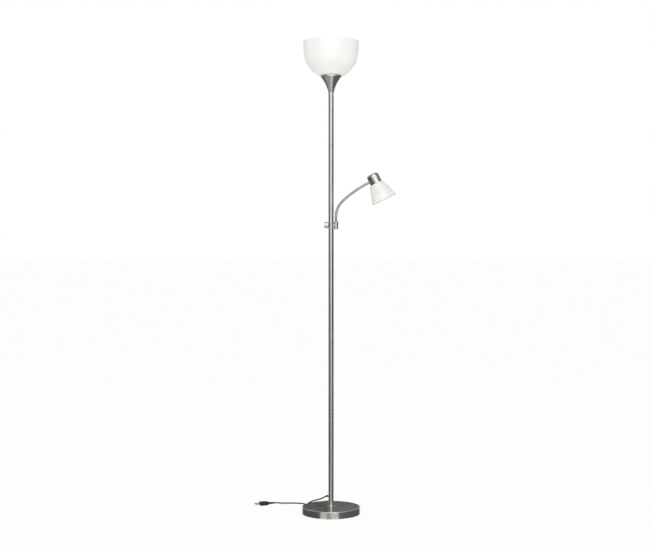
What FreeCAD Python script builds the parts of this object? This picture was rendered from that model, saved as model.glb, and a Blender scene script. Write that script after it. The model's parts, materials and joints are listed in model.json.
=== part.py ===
"""Floor uplighter with a reading light on a gooseneck, in millimetres.

+Z is up and the origin is the centre of the base's underside, on the pole's axis. The reading arm
leaves the pole towards +X, and the mains cord leaves it towards -X and +Y, at the back.
"""
import FreeCAD, Part
import Sketcher
import os
from math import acos, asin, atan2, cos, degrees, hypot, pi, radians, sin, sqrt, tan
from types import SimpleNamespace

V = FreeCAD.Vector
UP = V(0, 0, 1)
ACROSS = V(0, 1, 0)
doc = FreeCAD.newDocument("reading_uplighter")

# ---------------------------------------------------------------- driving dimensions
SIZES = {
    "base": [
        ("pad_radius", 107, "foam pad under the base"),
        ("pad_thickness", 2, "foam pad"),
        ("base_radius", 111, "spun cover"),
        ("base_height", 28, "floor to the cover's top"),
        ("base_edge", 3.5, "rounding of the cover's top edge"),
        ("cover_wall", 1.2, "sheet of the cover"),
        ("skirt_lift", 1, "floor to the cover's lower edge"),
        ("weight_gap", 0.4, "weight to cover, at the side"),
        ("weight_rim", 13, "thickness of the weight's rim"),
        ("weight_web", 9, "thickness of the weight's web"),
        ("hub_radius", 26, "boss under the weight's web"),
        ("hub_recess", 10, "room for the bolt's head under the boss"),
        ("bolt_radius", 5, "shank of the base bolt"),
        ("bolt_head", 9.8, "head of the base bolt, across its corners, halved"),
        ("bolt_head_height", 6.4, "head of the base bolt"),
        ("bolt_reach", 17, "bolt's length inside the pole's foot"),
        ("washer_radius", 13, "base washer"),
        ("washer_thickness", 2, "base washer"),
    ],
    "pole": [
        ("lamp_height", 1800, "floor to the bowl's rim"),
        ("pole_radius", 10, "pole tube, outside"),
        ("pole_wall", 1.2, "pole tube"),
        ("lower_length", 532, "first length of tube"),
        ("middle_length", 510, "second length of tube"),
        ("housing_length", 60, "short length that holds the switch"),
        ("collar_radius", 14, "foot collar"),
        ("collar_height", 6.5, "foot collar"),
        ("collar_foot", 1.5, "upright edge of the foot collar"),
        ("collar_lip", 1.2, "thickness of the foot collar at its top"),
        ("collar_sweep", 7, "radius of the foot collar's hollow flank"),
        ("plug_length", 25, "threaded plugs in the pole's two ends"),
        ("joiner_length", 30, "joiners between the lengths of tube"),
        ("joiner_bore", 5, "hole for the leads, radius"),
        ("press_gap", 0.05, "between pieces pressed or screwed together"),
        ("slide_gap", 0.1, "between pieces that slip together"),
    ],
    "switch": [
        ("switch_depth", 8.5, "switch body, along the knob's axis"),
        ("switch_back", 2, "switch body past the pole's axis"),
        ("switch_width", 11, "switch body, front to back"),
        ("switch_height", 24, "switch body"),
        ("bush_radius", 4, "threaded bush of the switch"),
        ("bush_reach", 2.8, "bush beyond the pole"),
        ("shaft_radius", 3, "switch shaft"),
        ("shaft_depth", 3.5, "shaft's length inside the switch body"),
        ("turning_gap", 0.05, "shaft in its bush"),
        ("switch_nut_radius", 6.2, "nut on the bush, across its corners, halved"),
        ("switch_nut_height", 2.2, "nut on the bush"),
        ("knob_radius", 12, "knob"),
        ("knob_length", 14.4, "knob"),
        ("knob_gap", 0.6, "pole to knob"),
        ("knob_recess", 7.2, "recess round the nut, radius"),
        ("knob_recess_depth", 4, "recess round the nut"),
        ("knob_edge", 1.2, "rounding of the knob's face"),
        ("knob_face", 2, "thickness of the knob's face"),
        ("index_width", 1.2, "index groove on the knob's face"),
        ("index_depth", 0.6, "index groove on the knob's face"),
    ],
    "arm": [
        ("socket_offset", 19, "pole's axis to the socket's axis"),
        ("socket_radius", 8.2, "upright socket"),
        ("socket_rise", 13, "arm's axis to the socket's top"),
        ("socket_drop", 15.8, "arm's axis to the socket's foot"),
        ("socket_seat", 8, "depth of the gooseneck in the socket"),
        ("chamber_radius", 4, "room for the lead's bend in the socket"),
        ("chamber_drop", 5, "arm's axis to the chamber's floor"),
        ("boss_radius", 5.5, "boss between the pole and the socket"),
        ("stud_radius", 4, "threaded stud of the bracket"),
        ("stud_end", 4, "pole's axis to the stud's end"),
        ("stud_bore", 2.4, "hole for the lead, radius"),
        ("arm_nut_radius", 5.1, "nut inside the pole, across its corners, halved"),
        ("arm_nut_height", 2.6, "nut inside the pole"),
        ("arm_nut_seat", 6.9, "pole's axis to the nut's outer face"),
        ("screw_radius", 1.5, "set screw"),
        ("screw_proud", 0.4, "set screw beyond the socket"),
        ("screw_height", 8, "arm's axis to the set screw"),
    ],
    "gooseneck": [
        ("neck_radius", 5, "crests of the ribs"),
        ("rib_depth", 0.55, "ribs"),
        ("rib_pitch", 3.5, "ribs, about"),
        ("neck_bore", 3.2, "inside of the hose, radius"),
        ("neck_upright", 20.5, "straight stretch above the socket"),
        ("neck_tight_radius", 81, "first bend"),
        ("neck_tight_turn", 47.3, "first bend, in degrees"),
        ("neck_wide_radius", 430, "second bend"),
        ("head_tilt", 26.5, "reader's axis from the vertical, in degrees"),
        ("lead_radius", 1.9, "inner leads"),
        ("lead_bend", 5, "turn of the inner lead in the socket, radius"),
    ],
    "reader": [
        ("bell_radius", 50, "bell's rim"),
        ("bell_height", 69.6, "bell"),
        ("bell_waist", 42, "bell where its side starts to straighten, radius"),
        ("bell_waist_height", 29, "rim to that place"),
        ("bell_curve", 205, "radius of the side below that place"),
        ("bell_shoulder", 28.5, "bell at its shoulder, radius"),
        ("bell_shoulder_drop", 2.6, "top to shoulder"),
        ("bell_top", 25.5, "flat top of the bell, radius"),
        ("bell_inner_curve", 1, "rounding of the shoulder on the inside"),
        ("bell_wall", 2.5, "glass of the bell"),
        ("cap_radius", 23.5, "cap"),
        ("cap_height", 38.6, "cap"),
        ("cap_edge", 9, "rounding of the cap's top"),
        ("cap_wall", 1, "sheet of the cap"),
        ("entry_height", 14.3, "cap's lower edge to the gooseneck's axis"),
        ("tip_radius", 4, "threaded tip of the gooseneck"),
        ("tip_reach", 7, "tip inside the cap"),
        ("tip_spigot", 6, "tip inside the hose"),
        ("tip_bore", 2.1, "hole for the lead, radius"),
        ("tip_nut_radius", 6.5, "nut inside the cap, across its corners, halved"),
        ("tip_nut_height", 3.4, "nut inside the cap"),
        ("tip_nut_seat", 21.4, "reader's axis to the nut's outer face"),
        ("small_holder_radius", 14, "small lampholder"),
        ("small_holder_drop", 11.6, "bell's top to the lampholder's mouth"),
        ("small_holder_rise", 24, "bell's top to the lampholder's back"),
        ("small_flange_radius", 22.3, "shoulder of the small lampholder"),
        ("small_flange_height", 3, "shoulder of the small lampholder"),
        ("small_socket_radius", 7.4, "mouth of the small lampholder"),
        ("small_socket_depth", 26, "mouth of the small lampholder"),
        ("small_ring_radius", 20, "small shade ring"),
        ("small_ring_height", 6, "small shade ring"),
        ("small_cap_radius", 7, "small lamp's screw cap"),
        ("small_cap_length", 26.5, "small lamp's screw cap"),
        ("small_lamp_radius", 22.5, "small lamp's globe"),
        ("small_lamp_neck", 42, "small lamp's screw cap and collar"),
        ("small_lamp_length", 78, "small lamp"),
    ],
    "top": [
        ("cone_radius", 40, "cone's upper edge"),
        ("cone_height", 61, "cone"),
        ("cone_lip", 4, "upright edge of the cone"),
        ("cone_foot", 11, "cone's lower edge, radius"),
        ("cone_sweep", 120, "radius of the cone's hollow flank"),
        ("cone_wall", 0.8, "sheet of the cone"),
        ("cone_overlap", 8, "cone over the pole"),
        ("plate_radius", 39.6, "gallery plate"),
        ("plate_thickness", 1.5, "gallery plate"),
        ("washer_soft_radius", 38, "soft washer under the bowl"),
        ("washer_soft_thickness", 1, "soft washer under the bowl"),
        ("nipple_radius", 5, "threaded nipple"),
        ("nipple_bore", 2.8, "threaded nipple, hole radius"),
        ("nipple_depth", 18, "nipple inside the pole"),
        ("nipple_rise", 12, "nipple inside the lampholder"),
        ("bowl_radius", 107, "bowl's rim"),
        ("bowl_height", 129.5, "bowl"),
        ("bowl_shoulder", 100, "bowl where its wall turns upright, radius"),
        ("bowl_shoulder_height", 62.5, "underside to that place"),
        ("bowl_flank", 83, "upper end of the straight flank, radius"),
        ("bowl_flank_height", 28.5, "underside to that place"),
        ("bowl_heel", 66, "lower end of the straight flank, radius"),
        ("bowl_heel_height", 10, "underside to that place"),
        ("bowl_foot", 50, "flat underside, radius"),
        ("bowl_wall_curve", 387, "radius of the wall"),
        ("bowl_shoulder_curve", 70.7, "radius of the shoulder"),
        ("bowl_heel_curve", 36.5, "radius of the heel"),
        ("bowl_wall", 3, "glass of the bowl"),
        ("holder_radius", 20, "lampholder"),
        ("holder_height", 46, "lampholder"),
        ("holder_socket_radius", 14, "mouth of the lampholder"),
        ("holder_socket_depth", 28, "mouth of the lampholder"),
        ("ring_radius", 28, "shade ring"),
        ("ring_height", 9, "shade ring"),
        ("hole_gap", 1.2, "lampholder to the glass round it"),
        ("lamp_cap_radius", 13.2, "lamp's screw cap"),
        ("lamp_cap_length", 28.5, "lamp's screw cap"),
        ("lamp_radius", 27.5, "lamp's globe"),
        ("lamp_neck", 52, "lamp's screw cap and collar"),
        ("lamp_length", 97.5, "lamp"),
        ("lamp_gap", 0.3, "lamp to the bottom of its socket"),
    ],
    "cord": [
        ("cord_radius", 2.7, "mains cord"),
        ("outlet_height", 65, "floor to the cord's outlet"),
        ("outlet_turn", 127.1, "direction of the outlet, in degrees from +X"),
        ("grommet_radius", 5.8, "grommet's flange"),
        ("grommet_neck", 4.4, "grommet in the pole's wall"),
        ("grommet_proud", 1.8, "grommet beyond the pole"),
        ("relief_length", 20, "strain relief beyond the grommet's flange"),
        ("relief_root", 4.4, "strain relief at the flange, radius"),
        ("relief_tip", 3.3, "strain relief at its end, radius"),
        ("inner_bend", 6, "turn of the cord inside the pole, radius"),
        ("coil_centre_x", -5, "coil of spare cord behind the base"),
        ("coil_centre_y", 154.5, "coil of spare cord behind the base"),
        ("coil_inner", 20.5, "innermost turn, radius at the cord's centre"),
        ("coil_gap", 0.5, "between turns"),
        ("coil_turns", 3, "turns in each of the two layers"),
        ("coil_lift", 1.6, "floor to the coil, where the tie passes under it"),
        ("tie_thickness", 0.8, "tie round the coil"),
        ("tie_width", 9, "tie round the coil"),
        ("tie_gap", 0.7, "tie to the coil's outermost cord"),
        ("plug_body_length", 36, "plug"),
        ("plug_body_width", 26, "plug"),
        ("plug_body_height", 13.8, "plug"),
        ("plug_edge", 2.5, "rounding of the plug"),
        ("boot_length", 22, "strain relief of the plug"),
        ("boot_radius", 4.6, "strain relief of the plug, at its root"),
        ("pin_radius", 2, "plug's pins"),
        ("pin_length", 19, "plug's pins"),
        ("pin_spacing", 18.6, "between the pins' axes"),
    ],
}
SEGMENTS = 6  # stretches of the gooseneck, with a joint between each two
RELIEF_STEPS = 7  # along the cord's strain relief, which bends with the cord


class Size:
    """A length that knows both its number and its formula over the sheet's cells."""

    def __init__(self, value, formula):
        self.value = value
        self.formula = formula

    def __add__(self, other):
        return Size(self.value + number(other), f"({self.formula} + {formula(other)})")

    def __radd__(self, other):
        return Size(number(other) + self.value, f"({formula(other)} + {self.formula})")

    def __sub__(self, other):
        return Size(self.value - number(other), f"({self.formula} - {formula(other)})")

    def __rsub__(self, other):
        return Size(number(other) - self.value, f"({formula(other)} - {self.formula})")

    def __mul__(self, other):
        return Size(self.value * number(other), f"({self.formula} * {formula(other)})")

    __rmul__ = __mul__

    def __neg__(self):
        return Size(-self.value, f"(0 - {self.formula})")


def number(size):
    return size.value if isinstance(size, Size) else size


def formula(size):
    return size.formula if isinstance(size, Size) else str(size)


sheet = doc.addObject("Spreadsheet::Sheet", "dim")
row = 0


def cell(alias, value, meaning):
    """One more row of the sheet; returns the size that it holds."""
    global row
    row += 1
    sheet.set(f"A{row}", meaning)
    sheet.set(f"B{row}", str(value))
    sheet.setAlias(f"B{row}", alias)
    return Size(value, f"dim.{alias}")


d = SimpleNamespace()
for group, entries in SIZES.items():
    row += 1
    sheet.set(f"A{row}", group)
    for alias, value, meaning in entries:
        setattr(d, alias, cell(alias, value, meaning))

# ---------------------------------------------------------------- places worked out from them
tube_bore = d.pole_radius - d.pole_wall
pressed = tube_bore - d.press_gap
thread_gap = d.press_gap
seam_low = d.base_height + d.lower_length
housing_foot = seam_low + d.middle_length
housing_top = housing_foot + d.housing_length
arm_height = housing_foot + d.housing_length * 0.5
socket_top = arm_height + d.socket_rise
bowl_foot_height = d.lamp_height - d.bowl_height
holder_height = bowl_foot_height - d.washer_soft_thickness
plate_height = holder_height - d.plate_thickness
cone_foot_height = plate_height - d.cone_height
pole_top = cone_foot_height + d.cone_overlap
upper_length = pole_top - housing_top


class NeckLine:
    """The gooseneck's centreline: upright, then a tight bend, then a wide one, all in the XZ plane.

    Distances run from the socket's top, and below zero they go down into the socket."""

    def __init__(self):
        turn = d.neck_tight_turn.value
        wide_turn = 90 - turn - d.head_tilt.value
        self.stretches = [
            (d.neck_upright.value, 0.0),
            (d.neck_tight_radius.value * radians(turn), 1 / d.neck_tight_radius.value),
            (d.neck_wide_radius.value * radians(wide_turn), 1 / d.neck_wide_radius.value),
        ]
        self.length = sum(length for length, bend in self.stretches)

    def at(self, distance):
        """Point and elevation, in radians, at a distance along the line."""
        x = d.socket_offset.value
        z = socket_top.value
        rise = pi / 2
        left = distance
        for index, (length, bend) in enumerate(self.stretches):
            last = index == len(self.stretches) - 1
            run = left if last else min(left, length)
            if bend:
                end = rise - run * bend
                x += (sin(rise) - sin(end)) / bend
                z += (cos(end) - cos(rise)) / bend
                rise = end
            else:
                x += run * cos(rise)
                z += run * sin(rise)
            left -= run
            if left <= 0:
                break
        return V(x, 0, z), rise

    def edges(self, start, end):
        """The line between two distances, as straight and round edges."""
        marks = [start]
        total = 0
        for length, bend in self.stretches[:-1]:
            total += length
            if start < total < end:
                marks.append(total)
        marks.append(end)
        found = []
        for a, b in zip(marks, marks[1:]):
            middle = (a + b) / 2
            if middle < self.stretches[0][0]:
                found.append(Part.LineSegment(self.at(a)[0], self.at(b)[0]).toShape())
            else:
                found.append(Part.Arc(self.at(a)[0], self.at(middle)[0], self.at(b)[0]).toShape())
        return found


neck = NeckLine()
tilt = radians(d.head_tilt.value)
entry_point = neck.at(neck.length)[0]
reader_out = V(cos(tilt), 0, sin(tilt))
reader_up = V(-sin(tilt), 0, cos(tilt))
entry_above_rim = (d.bell_height + d.entry_height).value
rim_centre = entry_point + reader_out * d.cap_radius.value - reader_up * entry_above_rim
row += 1
sheet.set(f"A{row}", "worked out from the gooseneck")
entry_x = cell("entry_x", round(entry_point.x, 4), "gooseneck's end")
entry_z = cell("entry_z", round(entry_point.z, 4), "gooseneck's end")
reader_x = cell("reader_x", round(rim_centre.x, 4), "centre of the bell's rim")
reader_z = cell("reader_z", round(rim_centre.z, 4), "centre of the bell's rim")
doc.recompute()


# ---------------------------------------------------------------- ways of making a piece
class Arc:
    """Between two corners of an outline: a round side, left-turning where the radius is positive."""

    def __init__(self, radius):
        self.radius = radius


def place(thing, x=0, y=0, z=0, axis=None, angle=None):
    """Put an object at a place, turned about one axis; each number may be a size."""
    turn = FreeCAD.Rotation(axis, number(angle)) if axis else FreeCAD.Rotation()
    thing.Placement = FreeCAD.Placement(V(number(x), number(y), number(z)), turn)
    for letter, size in zip("xyz", (x, y, z)):
        if isinstance(size, Size):
            thing.setExpression(f".Placement.Base.{letter}", size.formula)
    if isinstance(angle, Size):
        thing.setExpression(".Placement.Rotation.Angle", angle.formula)
    return thing


def bind(thing, **sizes):
    """Give an object's lengths, as formulas where they are sizes."""
    for name, size in sizes.items():
        setattr(thing, name, number(size))
        if isinstance(size, Size):
            thing.setExpression(name, size.formula)
    return thing


def fix(sketch, kind, *where, size):
    """One measured constraint of a sketch."""
    index = sketch.addConstraint(Sketcher.Constraint(kind, *where, number(size)))
    if isinstance(size, Size):
        sketch.setExpression(f"Constraints[{index}]", size.formula)


def corners_and_rounds(outline):
    """An outline's corners, and the radius of each round side by the number of the corner before it."""
    corners = []
    rounds = {}
    for entry in outline:
        if isinstance(entry, Arc):
            rounds[len(corners) - 1] = entry.radius
        else:
            corners.append(entry)
    return corners, rounds


def outline_sketch(body, name, outline, plane="XZ_Plane"):
    """A closed sketch through corners (across, up), with an Arc between two of them where it is round."""
    sketch = body.newObject("Sketcher::SketchObject", name)
    support = [entry for entry in body.Origin.OriginFeatures if entry.Role == plane][0]
    sketch.AttachmentSupport = [(support, "")]
    sketch.MapMode = "FlatFace"
    corners, rounds = corners_and_rounds(outline)
    ends = []
    for index, corner in enumerate(corners):
        a = V(number(corner[0]), number(corner[1]), 0)
        following = corners[(index + 1) % len(corners)]
        b = V(number(following[0]), number(following[1]), 0)
        if index in rounds:
            radius = number(rounds[index])
            side = V(-(b - a).y, (b - a).x, 0).normalize() * (1 if radius > 0 else -1)
            depth = sqrt(max(radius**2 - (b - a).Length**2 / 4, 0))
            centre = (a + b) / 2 + side * depth
            first, second = (a, b) if radius > 0 else (b, a)
            start = atan2((first - centre).y, (first - centre).x)
            stop = atan2((second - centre).y, (second - centre).x)
            circle = Part.Circle(centre, UP, abs(radius))
            sketch.addGeometry(Part.ArcOfCircle(circle, start, stop), False)
            ends.append((1, 2) if radius > 0 else (2, 1))
        else:
            sketch.addGeometry(Part.LineSegment(a, b), False)
            ends.append((1, 2))
    for index in range(len(corners)):
        after = (index + 1) % len(corners)
        sketch.addConstraint(Sketcher.Constraint("Coincident", index, ends[index][1], after, ends[after][0]))
    for index, (across, up) in enumerate(corners):
        point = (index, ends[index][0])
        if number(across) == 0:
            sketch.addConstraint(Sketcher.Constraint("PointOnObject", *point, -2))
        else:
            fix(sketch, "DistanceX", -1, 1, *point, size=across)
        if number(up) == 0:
            sketch.addConstraint(Sketcher.Constraint("PointOnObject", *point, -1))
        else:
            fix(sketch, "DistanceY", -1, 1, *point, size=up)
        if index in rounds:
            radius = rounds[index]
            fix(sketch, "Radius", index, size=radius if number(radius) > 0 else -radius)
    return sketch


def turned(name, outline):
    """A body turned about its own Z axis from an outline of (radius, height) corners."""
    body = doc.addObject("PartDesign::Body", name)
    sketch = outline_sketch(body, f"{name}_outline", outline)
    turn = body.newObject("PartDesign::Revolution", f"{name}_turn")
    turn.Profile = sketch
    turn.ReferenceAxis = (sketch, ["V_Axis"])
    turn.Angle = 360
    sketch.Visibility = False
    return body


def tube(name, outer, inner, height):
    return turned(name, [(inner, 0), (outer, 0), (outer, height), (inner, height)])


def walled(outer, wall, side):
    """Close an outline of equal thickness from its outer side alone.

    The outer side runs from the hole to the rim, and the wall lies to its left where side is 1 and
    to its right where side is -1. The hole is cut upright and the rim level."""
    corners, rounds = corners_and_rounds(outer)
    headings = []
    for index, (a, b) in enumerate(zip(corners, corners[1:])):
        across = number(b[0]) - number(a[0])
        up = number(b[1]) - number(a[1])
        half_turn = 0
        if index in rounds:
            half_turn = asin(hypot(across, up) / 2 / number(rounds[index]))
        headings.append((atan2(up, across) - half_turn, atan2(up, across) + half_turn))
    inner = []
    for index, (across, up) in enumerate(corners):
        if index == 0:
            inner.append((across, up + wall * side))
        elif index == len(corners) - 1:
            inner.append((across - wall * (1 / abs(sin(headings[-1][1]))), up))
        else:
            heading = (headings[index - 1][1] + headings[index][0]) / 2
            inner.append((across - wall * (side * sin(heading)), up + wall * (side * cos(heading))))
    closed = list(outer)
    for index in range(len(corners) - 1, -1, -1):
        closed.append(inner[index])
        if index - 1 in rounds:
            closed.append(Arc(-(rounds[index - 1] - wall * side)))
    return closed


def cylinder(name, radius, height):
    return bind(doc.addObject("Part::Cylinder", name), Radius=radius, Height=height)


def hexagon(name, corner_radius, height):
    prism = doc.addObject("Part::Prism", name)
    prism.Polygon = 6
    return bind(prism, Circumradius=corner_radius, Height=height)


def cut(name, base, tool):
    made = doc.addObject("Part::Cut", name)
    made.Base = base
    made.Tool = tool
    return made


def fuse(name, *pieces):
    made = doc.addObject("Part::MultiFuse", name)
    made.Shapes = list(pieces)
    return made


def shaped(name, shape):
    """A piece whose form comes from a formula."""
    made = doc.addObject("Part::Feature", name)
    made.Shape = shape
    return made


def pipe(edges, radius):
    """A round solid along joined edges."""
    path = Part.Wire(edges)
    start = edges[0].valueAt(edges[0].FirstParameter)
    along = edges[0].tangentAt(edges[0].FirstParameter)
    ring = Part.Wire(Part.Circle(start, along, radius).toShape())
    return path.makePipeShell([ring], True, False)


def ring_across(point, along, steady, radius):
    """A circle square to a direction, with its seam towards a steady one."""
    circle = Part.Circle(V(0, 0, 0), UP, radius).toShape()
    circle.Placement = FreeCAD.Placement(point, FreeCAD.Rotation(steady, along.cross(steady), along, "ZXY"))
    return Part.Wire(circle)


def spot_on(edges, distance):
    """Point and direction at a distance along joined edges, and straight on past their start."""
    left = distance
    for edge in edges:
        if left <= edge.Length:
            break
        left -= edge.Length
    where = edge.getParameterByLength(max(left, 0))
    along = edge.tangentAt(where)
    return edge.valueAt(where) + along * min(left, 0), along


def rounded_path(points):
    """Straight runs joined by arcs as large as their two runs allow. Returns edges and radii."""
    edges = []
    radii = []
    at = points[0]
    for before, corner, after in zip(points, points[1:], points[2:]):
        back = (before - corner).normalize()
        on = (after - corner).normalize()
        turn = pi - acos(max(-1, min(1, back.dot(on))))
        reach = 0.45 * min((before - corner).Length, (after - corner).Length)
        radius = reach / tan(turn / 2)
        radii.append(radius)
        start = corner + back * reach
        stop = corner + on * reach
        inward = (back + on).normalize()
        middle = corner + inward * (radius / cos(turn / 2) - radius)
        edges.append(Part.LineSegment(at, start).toShape())
        edges.append(Part.Arc(start, middle, stop).toShape())
        at = stop
    edges.append(Part.LineSegment(at, points[-1]).toShape())
    return edges, radii


def biarc(start, heading, end, arriving):
    """Two arcs that leave one point along its heading and reach the other along its own."""
    span = end - start
    both = heading + arriving
    closing = 2 * (1 - heading.dot(arriving))
    if closing < 1e-9:
        reach = span.dot(span) / (4 * span.dot(arriving))
    else:
        lead = span.dot(both)
        reach = (-lead + sqrt(lead**2 + closing * span.dot(span))) / closing
    meeting = (start + end + (heading - arriving) * reach) / 2
    return [arc_from(start, heading, meeting), arc_from(end, -arriving, meeting, backwards=True)]


def arc_from(start, heading, end, backwards=False):
    """The arc that leaves start along heading and ends at end."""
    chord = end - start
    along = V(chord).normalize()
    turn = acos(max(-1, min(1, heading.dot(along))))
    if turn < 1e-7:
        ends = (end, start) if backwards else (start, end)
        return Part.LineSegment(*ends).toShape()
    bulge = (heading - along * heading.dot(along)).normalize()
    middle = (start + end) / 2 + bulge * (chord.Length / 2 * tan(turn / 2))
    ends = (end, middle, start) if backwards else (start, middle, end)
    return Part.Arc(*ends).toShape()


# ---------------------------------------------------------------- base
def base_pad():
    cylinder("base_pad", d.pad_radius, d.pad_thickness)


def base_weight():
    radius = d.base_radius - d.cover_wall - d.weight_gap
    height = d.base_height - d.pad_thickness - d.cover_wall
    under_web = height - d.weight_web
    inner = radius - d.weight_rim
    edge = d.base_edge - d.cover_wall
    hole = d.bolt_radius + d.slide_gap
    weight = turned("base_weight", [
        (hole, d.hub_recess), (d.hub_radius, d.hub_recess), (d.hub_radius, under_web),
        (inner, under_web), (inner, 0), (radius, 0), (radius, height - edge), Arc(edge),
        (radius - edge, height), (hole, height),
    ])
    place(weight, z=d.pad_thickness)


def base_cover():
    height = d.base_height - d.skirt_lift
    inner = d.base_radius - d.cover_wall
    edge = d.base_edge - d.cover_wall
    hole = d.bolt_radius + d.slide_gap
    cover = turned("base_cover", [
        (d.base_radius, 0), (d.base_radius, height - d.base_edge), Arc(d.base_edge),
        (d.base_radius - d.base_edge, height), (hole, height), (hole, height - d.cover_wall),
        (inner - edge, height - d.cover_wall), Arc(-edge), (inner, height - d.cover_wall - edge),
        (inner, 0),
    ])
    place(cover, z=d.skirt_lift)


def base_fixing():
    seat = d.pad_thickness + d.hub_recess
    washer = tube("base_washer", d.washer_radius, d.bolt_radius + d.slide_gap, d.washer_thickness)
    place(washer, z=seat - d.washer_thickness)
    under_head = seat - d.washer_thickness - d.bolt_head_height
    head = place(hexagon("bolt_head_form", d.bolt_head, d.bolt_head_height), z=under_head)
    reach = d.base_height + d.bolt_reach - under_head
    shank = place(cylinder("bolt_shank_form", d.bolt_radius, reach), z=under_head)
    fuse("base_bolt", head, shank)


def foot_collar():
    bore = d.pole_radius + d.slide_gap
    lip = bore + d.collar_lip
    collar = turned("foot_collar", [
        (bore, 0), (d.collar_radius, 0), (d.collar_radius, d.collar_foot), Arc(-d.collar_sweep),
        (lip, d.collar_height), (bore, d.collar_height),
    ])
    place(collar, z=d.base_height)


# ---------------------------------------------------------------- pole
def outlet_rotation():
    """Turns a piece made along Z towards the cord's outlet."""
    out = V(cos(radians(d.outlet_turn.value)), sin(radians(d.outlet_turn.value)), 0)
    return FreeCAD.Rotation(UP, out)


def towards_outlet(thing):
    """Stand a piece made along Z at the outlet's height, pointing out of the pole."""
    thing.Placement = FreeCAD.Placement(V(0, 0, d.outlet_height.value), outlet_rotation())
    thing.setExpression(".Placement.Base.z", d.outlet_height.formula)
    return thing


def pole():
    lower = place(tube("pole_lower_form", d.pole_radius, tube_bore, d.lower_length), z=d.base_height)
    outlet = cylinder("outlet_form", d.grommet_neck + d.slide_gap, d.pole_radius * 2)
    cut("pole_lower", lower, towards_outlet(outlet))
    place(tube("pole_middle", d.pole_radius, tube_bore, d.middle_length), z=seam_low)
    housing = place(tube("housing_form", d.pole_radius, tube_bore, d.housing_length), z=housing_foot)
    crossing = cylinder("housing_hole_form", d.stud_radius + d.slide_gap, d.pole_radius * 4)
    place(crossing, x=-d.pole_radius * 2, z=arm_height, axis=ACROSS, angle=90)
    cut("switch_housing", housing, crossing)
    place(tube("pole_upper", d.pole_radius, tube_bore, upper_length), z=housing_top)
    thread = d.bolt_radius + thread_gap
    place(tube("pole_foot_plug", pressed, thread, d.plug_length), z=d.base_height)
    thread = d.nipple_radius + thread_gap
    place(tube("pole_top_plug", pressed, thread, d.plug_length), z=pole_top - d.plug_length)
    seams = {"lower": seam_low, "middle": housing_foot, "upper": housing_top}
    for name, seam in seams.items():
        joiner = tube(f"pole_joiner_{name}", pressed, d.joiner_bore, d.joiner_length)
        place(joiner, z=seam - d.joiner_length * 0.5)


def relief_form(name, stations, radii):
    """A round form along the start of the free cord, through a circle at each station."""
    edges = rounded_path(over_base(cord_start()))[0]
    side = outlet_rotation().multVec(UP).cross(UP)
    rings = [ring_across(*spot_on(edges, far), side, radius) for far, radius in zip(stations, radii)]
    return shaped(name, Part.makeLoft(rings, True, True))


def grommet():
    """A flange on the pole's round side, a neck through its wall, and a tapered strain relief."""
    inner_end = tube_bore - d.pole_wall * 0.5
    outer_end = d.pole_radius + d.grommet_proud
    span = outer_end - inner_end
    flange = doc.addObject("Part::Cylinder", "grommet_flange_form")
    bind(flange, Radius=d.grommet_radius, Height=outer_end)
    towards_outlet(flange)
    clear = d.grommet_radius * 4
    pole_form = cylinder("grommet_seat_form", d.pole_radius + d.press_gap, clear)
    place(pole_form, z=d.outlet_height - clear * 0.5)
    ring = cut("grommet_ring_form", flange, pole_form)
    neck_form = towards_outlet(cylinder("grommet_neck_form", d.grommet_neck, outer_end))
    core = place(cylinder("grommet_core_form", inner_end, clear), z=d.outlet_height - clear * 0.5)
    neck_ring = cut("grommet_wall_form", neck_form, core)
    length = d.relief_length.value
    stations = [length * step / RELIEF_STEPS for step in range(RELIEF_STEPS + 1)]
    narrowing = (d.relief_tip - d.relief_root).value
    widths = [d.relief_root.value + narrowing * far / length for far in stations]
    taper = relief_form("relief_taper_form", stations, widths)
    solid = fuse("grommet_solid_form", ring, neck_ring, taper)
    bore = towards_outlet(cylinder("grommet_bore_form", d.cord_radius + d.slide_gap, outer_end))
    inside = [0] + stations[1:] + [length + span.value]
    hollow = relief_form("relief_hollow_form", inside, [(d.cord_radius + d.slide_gap).value] * len(inside))
    cut("cord_grommet", solid, fuse("cord_way_form", bore, hollow))


# ---------------------------------------------------------------- switch and knob
def towards_knob(thing, distance=0):
    """Lay a piece made along Z on the knob's axis, so that it runs away from the pole."""
    return place(thing, x=-distance if number(distance) else 0, z=arm_height, axis=ACROSS, angle=-90)


def switch():
    front = d.switch_depth - d.switch_back
    box = bind(doc.addObject("Part::Box", "switch_box_form"), Length=d.switch_depth,
               Width=d.switch_width, Height=d.switch_height)
    place(box, x=-front, y=-d.switch_width * 0.5, z=arm_height - d.switch_height * 0.5)
    bush_end = d.pole_radius + d.bush_reach
    bush = towards_knob(cylinder("switch_bush_form", d.bush_radius, bush_end))
    shaft_start = front - d.shaft_depth
    hole = cylinder("switch_hole_form", d.shaft_radius + d.turning_gap, bush_end * 2)
    towards_knob(hole, shaft_start - d.turning_gap)
    cut("rotary_switch", fuse("switch_solid_form", box, bush), hole)
    knob_end = d.pole_radius + d.knob_gap + d.knob_length
    shaft_end = knob_end - d.knob_face - d.press_gap
    towards_knob(cylinder("switch_shaft", d.shaft_radius, shaft_end - shaft_start), shaft_start)
    nut = towards_knob(hexagon("switch_nut_form", d.switch_nut_radius, d.switch_nut_height), d.pole_radius)
    opening = cylinder("switch_nut_hole_form", d.bush_radius + thread_gap, bush_end)
    cut("switch_nut", nut, towards_knob(opening, d.bush_radius))


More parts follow.
